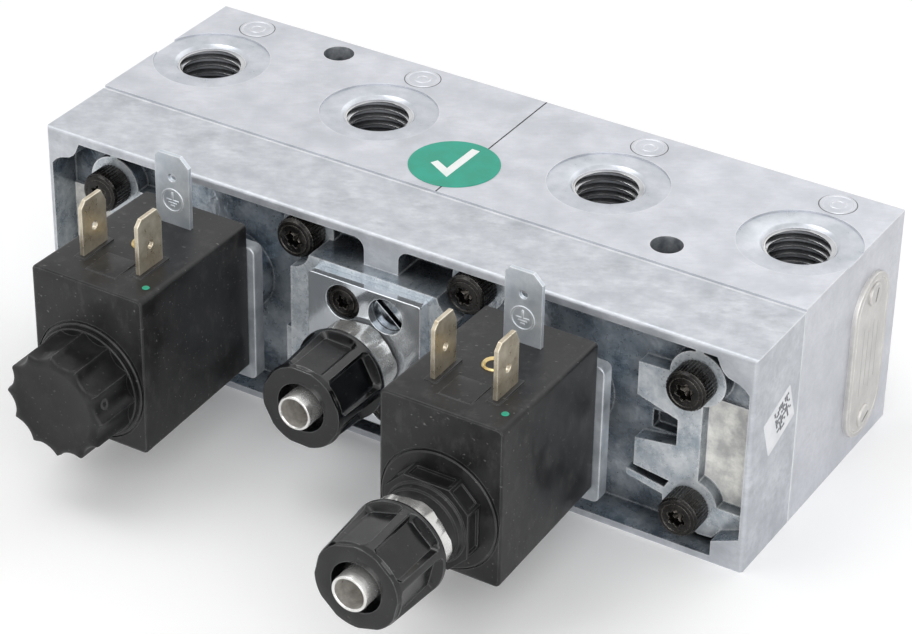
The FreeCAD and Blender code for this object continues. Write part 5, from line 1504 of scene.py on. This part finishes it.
@dataclass
class TubeFitting(SubAssembly):
    """Plated tube fitting and its black union nut."""

    fitting_node: str
    nut_node: str
    stub_radius: float
    hex_length: float
    nut_turn: float
    ring: bool = False
    hex_flat: float = 6.7
    hex_round: float = 7.2
    hex_turn: float = 7.0
    fitting_points: int = 96
    thread_radius: float = 5.9
    thread_length: float = 6.0
    spigot_radius: float = 3.075
    spigot_bore: float = 2.55
    bore_radius: float = 1.5
    face_radius: float = 7.35
    disc_flat: float = 7.14
    disc_length: float = 0.85
    collar_radius: float = 8.2
    collar_length: float = 1.1
    hole_radius: float = 4.3
    thread_room: float = 6.05
    room_depth: float = 7.4
    rib_rear: float = 8.15
    rib_front: float = 7.5
    rib_half: float = 0.62
    panel_floor: float = 6.42
    panel_corner: float = 1.1
    panel_lip: float = 0.42
    nut_points: int = 216
    CORNER_STEPS: ClassVar[Sequence[float]] = (0.0, 0.14, 0.28, 0.42, 0.6, 0.8, 1.0)

    def build(self) -> list[Object]:
        """Makes the fitting, its union nut and its seal ring."""
        made = [self.fitting(), self.union_nut()]
        return made + [self.seal()] if self.ring else made

    def fitting(self) -> Object:
        """Makes the metal body: stub, hexagon, thread and spigot.

        Returns:
            The piece.
        """
        nut, place = Place.of(self.nut_node), Place.of(self.fitting_node)
        back, tip = place.ends
        front = nut.ends[0] - 0.1
        rear, neck = front - self.hex_length, front + self.thread_length
        spigot, inner, bore = self.spigot_radius, self.spigot_bore, self.bore_radius
        stub, turned, thread = self.stub_radius, self.hex_round - 0.6, self.thread_radius
        hexed = hexagon(self.hex_flat, self.hex_round, self.hex_turn, self.fitting_points)
        piece = Piece(self.fitting_node, "turned")
        piece.skin([(bore, back), (stub - 0.2, back), (stub, back + 0.2), (stub, rear), (turned, rear),
                    (hexed, rear + 0.3), (hexed, front - 0.3), (turned, front), (thread, front + 0.02),
                    (thread, neck - 0.4), (thread - 0.4, neck), (spigot, neck + 0.02), (spigot, tip - 0.22),
                    (spigot - 0.08, tip - 0.06), (spigot - 0.18, tip), (inner + 0.12, tip),
                    (inner, tip - 0.14), (inner, neck + 0.04), (bore, neck - 0.6)],
                   self.fitting_points, closed=True)
        for wall in piece.mesh.faces:
            wall.material_index = int(wall.calc_center_median().xy.length < inner + 0.05)
        piece.mark_turning()
        return piece.done("fitting", Finish.NICKEL, Finish.TUBE_BORE, crease=30,
                          matrix=Facing.FRONT.on((place.middle.x, 0, nut.middle.z)))

    def grip(self, along: float, length: float) -> list[Point]:
        """Outline of the nut's grip at one place: six ribs with sunk panels between them.

        Args:
            along: distance from the rear end of the panels.
            length: length of the panels.

        Returns:
            The points.
        """
        crest = self.rib_rear + (self.rib_front - self.rib_rear) * along / length
        edge_of_rib = SIXTH / 2 - self.rib_half / crest
        end = min(along, length - along)
        corner, turn = self.panel_corner, math.radians(self.nut_turn)

        def radius(angle: float) -> float:
            """Radius at an angle.

            Args:
                angle: the angle in radians.

            Returns:
                The radius.
            """
            off = abs((angle - turn) % SIXTH - SIXTH / 2)
            side = (edge_of_rib - off) * crest
            inside = min(side, end)
            if max(side, end) < corner:
                inside = corner - math.hypot(corner - side, corner - end)
            share = max(0.0, min(1.0, inside / self.panel_lip))
            return crest - (crest - self.panel_floor / math.cos(off)) * share * share * (3 - 2 * share)

        return waved(radius, self.nut_points)

    def union_nut(self) -> Object:
        """Makes the black nut: face disc, six sunk panels between narrow ribs, collar.

        Returns:
            The piece.
        """
        place = Place.of(self.nut_node)
        rear, face = place.ends
        count = self.nut_points
        first, last = rear + self.collar_length, face - self.disc_length
        length, end = last - first, rear + self.room_depth
        collar, hole, room = self.collar_radius, self.hole_radius, self.thread_room
        steps = [self.panel_corner * share for share in self.CORNER_STEPS]
        steps += [length / 2] + [length - step for step in reversed(steps)]
        grips = [(self.grip(along, length), first + along) for along in steps]
        discs = ((0.0, last + 0.4), (0.0, face - 0.2), (0.08, face - 0.05), (0.25, face))
        faces = [(hexagon(self.disc_flat - shrink, self.face_radius - shrink, self.nut_turn, count), height)
                 for shrink, height in discs]
        piece = Piece(self.nut_node, "moulded")
        piece.skin([(room, rear), (collar - 0.55, rear), (collar - 0.15, rear + 0.2), (collar, rear + 0.6),
                    (collar, first - 0.45), (collar - 0.05, first - 0.25),
                    (self.rib_rear + 0.02, first - 0.08), *grips, *faces, (hole + 0.3, face),
                    (hole + 0.08, face - 0.06), (hole, face - 0.3), (hole, end), (room, end)],
                   count, closed=True)
        return piece.done("nut", Finish.GLOSS_NYLON, body=self.nut_node, matrix=Facing.FRONT.on(place.middle),
                          crease=32)

    def seal(self) -> Object:
        """Makes the seal ring under the fitting.

        Returns:
            The piece.
        """
        piece = Piece("control_seal", "turned")
        place = Place.of(piece.node)
        outer, inner = place.half(0), self.stub_radius
        low, high = place.ends
        piece.lathe([(inner, low), (outer - 0.15, low), (outer, low + 0.2), (outer, high - 0.2),
                     (outer - 0.15, high), (inner, high), (inner, low)], 64)
        piece.mark_turning()
        return piece.done("rubber", Finish.RUBBER, matrix=Facing.FRONT.on(place.middle))


@dataclass
class Markings(SubAssembly):
    """Nameplate with its pins, round sticker and small label, all without words."""

    border_inset: float = 0.9
    border_width: float = 0.28
    border_depth: float = 0.1
    rules: int = 4
    rule_width: float = 0.26
    rule_start: float = -2.7
    rule_pitch: float = 1.8
    rule_ends: Point = (2.4, 3.7)
    rivet_shank: float = 1.0
    rivet_slot: float = 0.5
    rivet_spread: float = 1.4
    rivet_turns: Point = (24.0, 72.0)
    rivet_points: int = 48
    tick_turn: float = 30.0
    label_half_w: float = 4.65
    label_half_h: float = 3.75
    label_corner: float = 0.3
    label_turn: float = 20.0
    label_margins: Point = (0.7, 0.9)
    label_cells: int = 10
    label_cell: float = 0.52
    label_fill: float = 0.86
    seed: int = 11
    TICK: ClassVar[Outline] = ((-4.0, 0.2), (-1.2, -4.6), (4.2, 4.4), (2.9, 5.2), (-1.2, -1.6), (-2.8, 1.0))

    def build(self) -> list[Object]:
        """Makes the plate, its pins, the sticker and the label."""
        return [self.nameplate(), self.rivets(), self.sticker(), self.label()]

    def nameplate(self) -> Object:
        """Makes the bare nameplate with an engraved border and blank rules.

        Returns:
            The piece.
        """
        piece = Piece("nameplate", "engraved")
        place = Place.of(piece.node)
        radius, low, high = place.half(1), place.low.x, place.high.x
        half = place.half(2) - radius
        rings = ((0.0, low), (0.0, high - 0.22), (0.07, high - 0.07), (0.24, high))
        piece.skin([(stadium(radius - shrink, half), height) for shrink, height in rings])
        depth = self.border_depth
        for thickness, sunk in ((self.border_inset - 0.24, 0.0), (0.08, -depth),
                                (self.border_width - 0.16, 0.0), (0.08, depth)):
            middle = max(piece.mesh.faces, key=lambda f: (round(f.normal.z), f.calc_area()))
            bmesh.ops.inset_individual(piece.mesh, faces=[middle], thickness=thickness, depth=sunk,
                                       use_even_offset=True)
        for number in range(self.rules):
            y = self.rule_start + self.rule_pitch * number
            half_w, reach = self.rule_width / 2, half - self.rule_ends[number % 2]
            piece.block((y - half_w, -reach, high - 0.05), (y + half_w, reach, high + 0.015), finish=1)
        return piece.done("alloy", Finish.NAMEPLATE, Finish.ETCHING, matrix=Facing.RIGHT.on(place.middle),
                          crease=30)

    def rivets(self) -> Object:
        """Makes the two slotted pins of the nameplate.

        Returns:
            Their piece.
        """
        piece = Piece("nameplate_rivets", "turned")
        solids = solids_of(piece.node)
        low, high = solids[0].low.x, solids[0].high.x
        head, shank = solids[0].half(1) * self.rivet_spread, self.rivet_shank
        seat, points, half = Place.of("nameplate").high.x - 0.02, self.rivet_points, self.rivet_slot / 2
        slot = [(0.62 * x, max(-half, min(half, y))) for x, y in circle(head, points)]
        piece.skin([(shank, low), (shank, seat), (head, seat), (head, seat + 0.2), (head * 0.93, high - 0.12),
                    (head * 0.78, high - 0.02), (slot, high), (scaled(slot, 0.96, 0.9), high - 0.35)], points)
        piece.mark_turning()
        piece.spread([Facing.RIGHT.on(s.middle, turn) for s, turn in zip(solids, self.rivet_turns)])
        return piece.done("steel", Finish.NAMEPLATE, crease=30)

    def sticker(self) -> Object:
        """Makes the round green sticker with a plain white tick.

        Returns:
            The piece.
        """
        piece = Piece("test_sticker", "printed")
        place = Place.of(piece.node)
        radius, low, high = place.half(0), place.low.z, place.high.z
        piece.lathe([(0, low), (radius - 0.03, low), (radius, low + 0.05), (radius - 0.08, high),
                     (0, high)], 96)
        piece.skin([(self.TICK, high - 0.04), (self.TICK, high + 0.012)], finish=1)
        return piece.done("sticker", Finish.GREEN_VINYL, Finish.WHITE_VINYL,
                          matrix=Facing.UP.on(place.middle, self.tick_turn))

    def label(self) -> Object:
        """Makes the white label with a plain block of grey squares.

        Returns:
            The piece.
        """
        piece = Piece("code_label", "printed")
        place = Place.of(piece.node)
        low, high = place.low.x, place.high.x
        half_w, half_h, corner = self.label_half_w, self.label_half_h, self.label_corner
        edge = rounded_box(half_w, half_h, corner)
        piece.skin([(edge, low), (edge, high - 0.03),
                    (rounded_box(half_w - 0.04, half_h - 0.04, corner - 0.02), high)])
        chance = random.Random(self.seed)
        size, side = self.label_cell, self.label_cell * self.label_fill
        for column in range(self.label_cells):
            for row in range(self.label_cells):
                if chance.random() < 0.5:
                    y = half_w - self.label_margins[0] - (column + 1) * size
                    z = half_h - self.label_margins[1] - (row + 1) * size
                    piece.block((y, z, high - 0.03), (y + side, z + side, high + 0.008), finish=1)
        return piece.done("label", Finish.PAPER, Finish.GREY_PRINT,
                          matrix=Facing.RIGHT.on(place.middle, self.label_turn))


@dataclass
class Springs(SubAssembly):
    """The four springs, built at the length of their frame nodes; nothing here shortens them as what they
    push moves.
    """

    plunger_wire: float = 0.5
    plunger_turns: float = 5.0
    plunger_stroke: float = 1.1
    spool_wire: float = 0.9
    spool_turns: float = 6.0
    spool_stroke: float = 7.5

    def build(self) -> list[Object]:
        """Makes the springs.

        Returns:
            The pieces.
        """
        made = []
        for side in SIDES:
            made.append(self.plunger_spring(side))
            made.append(self.spool_spring(side))
        return made

    def plunger_spring(self, side: str) -> Object:
        """Makes a plunger's spring.

        Args:
            side: left or right.

        Returns:
            The piece.
        """
        piece = Piece("plunger_spring_" + side, "wound")
        place = Place.of(piece.node)
        middle, length = place.middle, 2 * place.half(1)
        wire = self.plunger_wire
        piece.coil_of_wire(place.half(0) - wire / 2, wire, length, self.plunger_turns)
        start = Facing.FRONT.at((middle.x, place.high.y, middle.z))
        made = piece.done("steel", Finish.STEEL, matrix=start, crease=60)
        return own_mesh(made)

    def spool_spring(self, side: str) -> Object:
        """Makes a spool's spring.

        Args:
            side: left or right.

        Returns:
            The piece.
        """
        piece = Piece("spool_spring_" + side, "wound")
        place = Place.of(piece.node)
        middle, length = place.middle, 2 * place.half(0)
        wire = self.spool_wire
        piece.coil_of_wire(place.half(2) - wire / 2, wire, length, self.spool_turns)
        start = Facing.RIGHT.at((place.low.x, middle.y, middle.z))
        made = piece.done("steel", Finish.STEEL, matrix=start, crease=60)
        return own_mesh(made)


class CarriedOver:
    """Frame nodes whose shape is right and that only get a finish."""

    FINISHES = {
        Finish.STEEL: ("channel_plug", "armature_tube", "fixed_core", "plunger"),
        Finish.BRASS: ("valve_seat",),
        Finish.RUBBER: ("plunger_seals", "spool_rings", "plug_ring"),
        Finish.COPPER: ("coil_winding",),
        Finish.NICKEL: ("spool",),
        Finish.BRIGHT_PLATE: ("end_plug",),
    }

    def dress(self) -> int:
        """Gives each such node its finish.

        Returns:
            How many nodes were dressed.
        """
        count = 0
        for name, node in frame["nodes"].items():
            plain = name.removesuffix("_left").removesuffix("_right")
            for finish in (finish for finish, names in self.FINISHES.items() if plain in names):
                node.data.materials.clear()
                node.data.materials.append(finish.material)
                count += 1
        return count


@dataclass
class Studio:
    """Pale floor, soft light and the camera."""

    eye: Colour = (229.4, -387.0, 295.0)
    turn: Colour = (57.6854, -0.903, 31.4217)
    lens: float = 121.56
    sensor: float = 36.0
    clip: Point = (10.0, 10000.0)
    world_level: float = 0.55
    floor_half: float = 3000.0
    floor_colour: Colour = (0.97, 0.97, 0.97)
    floor_shade: Colour = (0.9, 0.9, 0.9)
    floor_glow: float = 0.09
    far_glow: float = 0.5
    glow_start: float = 300.0
    glow_end: float = 1500.0
    LAMPS: ClassVar[Mapping[str, tuple[Colour, Colour, float, float]]] = {
        "key_light": ((-300, -160, 820), (0, 0, 20), 520, 2.0),
        "fill_light": ((440, -680, 380), (0, -20, 20), 900, 4.1),
        "rear_light": ((160, 620, 560), (0, 0, 30), 700, 1.2),
    }

    def build(self) -> None:
        """Makes the stage."""
        self.camera()
        self.floor()
        self.world()
        for name, settings in self.LAMPS.items():
            self.lamp(name, *settings)

    def stand(self, name: str, data: bpy.types.ID) -> Object:
        """Puts an object for its data in the scene.

        Args:
            name: the object's name.
            data: its data.

        Returns:
            The object.
        """
        made = bpy.data.objects.new(name, data)
        bpy.context.scene.collection.objects.link(made)
        return made

    def camera(self) -> None:
        """Makes the camera at the photograph's angle."""
        data = bpy.data.cameras.new("camera")
        data.lens = self.lens
        data.sensor_width = self.sensor
        data.sensor_fit = "HORIZONTAL"
        data.clip_start, data.clip_end = (distance * MM for distance in self.clip)
        made = self.stand("camera", data)
        made.location = Vector(self.eye) * MM
        made.rotation_euler = Euler([math.radians(a) for a in self.turn], "XYZ")
        bpy.context.scene.camera = made

    def floor(self) -> None:
        """Makes the floor, whose far part glows for the camera only."""
        shape = bmesh.new()
        bmesh.ops.create_grid(shape, x_segments=1, y_segments=1, size=self.floor_half * MM)
        data = bpy.data.meshes.new("floor")
        shape.to_mesh(data)
        shape.free()
        sheet = NodeSheet(bpy.data.materials.new("pale_floor"))
        grain = sheet.noise(2.0, 2.0)
        seen = sheet.node("LightPath").outputs["Is Camera Ray"]
        away = sheet.node("VectorMath", {0: sheet.place}, operation="LENGTH").outputs["Value"]
        glow = sheet.span(away, self.glow_start * MM, self.glow_end * MM, self.floor_glow, self.far_glow)
        shaded = sheet.span(grain, 0.3, 0.7, 0.0, 0.05)
        data.materials.append(sheet.surface({
            "Base Color": sheet.mix(shaded, self.floor_colour, self.floor_shade),
            "Emission Color": WHITE, "Emission Strength": sheet.maths("MULTIPLY", seen, glow),
            "Roughness": 0.9, "Specular IOR Level": 0.1}))
        self.stand("floor", data)

    def world(self) -> None:
        """Makes the world: white where it is seen, dimmer as a light."""
        world = bpy.data.worlds.new("studio")
        bpy.context.scene.world = world
        sheet = NodeSheet(world, "Background", "OutputWorld")
        rays = sheet.node("LightPath").outputs
        seen = rays["Is Camera Ray"]
        for name in ("Is Glossy Ray", "Is Transmission Ray"):
            seen = sheet.maths("MAXIMUM", seen, rays[name])
        sheet.feed(sheet.shader, {"Color": WHITE, "Strength": sheet.span(seen, 0.0, 1.0, self.world_level)})

    def lamp(self, name: str, place: Colour, aim: Colour, size: float, power: float) -> None:
        """Makes a soft square lamp.

        Args:
            name: its name.
            place: where it hangs.
            aim: what it points at.
            size: its width.
            power: its power in watts.
        """
        data = bpy.data.lights.new(name, "AREA")
        data.size = size * MM
        data.energy = power
        made = self.stand(name, data)
        made.location = Vector(place) * MM
        made.rotation_euler = (Vector(aim) - Vector(place)).to_track_quat("-Z", "Y").to_euler()


def sub_assemblies() -> list[SubAssembly]:
    """Lists every sub-assembly of the valve.

    Returns:
        The sub-assemblies, in the order in which they are put together.
    """
    return [
        FrontCasting(),
        BodyGasket(),
        RearBlock(),
        HousingScrews(),
        AdapterPlate(),
        Solenoid("left", (-24.2, -58.0)),
        Solenoid("right", (41.6, -57.8)),
        CapNut(),
        CoilNut(),
        TubeFitting("exhaust_fitting", "union_nut_right", 4.2, 3.0, 17.0),
        TubeFitting("control_fitting", "union_nut_middle", 4.8, 5.1, -2.0, ring=True),
        Markings(),
        Springs(),
    ]


def main() -> None:
    logging.basicConfig(level=logging.INFO, format="%(message)s")
    bpy.context.scene.view_settings.view_transform = "Standard"
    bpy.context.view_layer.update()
    Studio().build()
    for part in sub_assemblies():
        for piece in part.build():
            log.info("%s: %s, %d faces, rides on %s", type(part).__name__, piece.name,
                     len(piece.data.polygons), piece["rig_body"])
    log.info("%d nodes carried over with a finish", CarriedOver().dress())


if __name__ == "__main__":
    main()
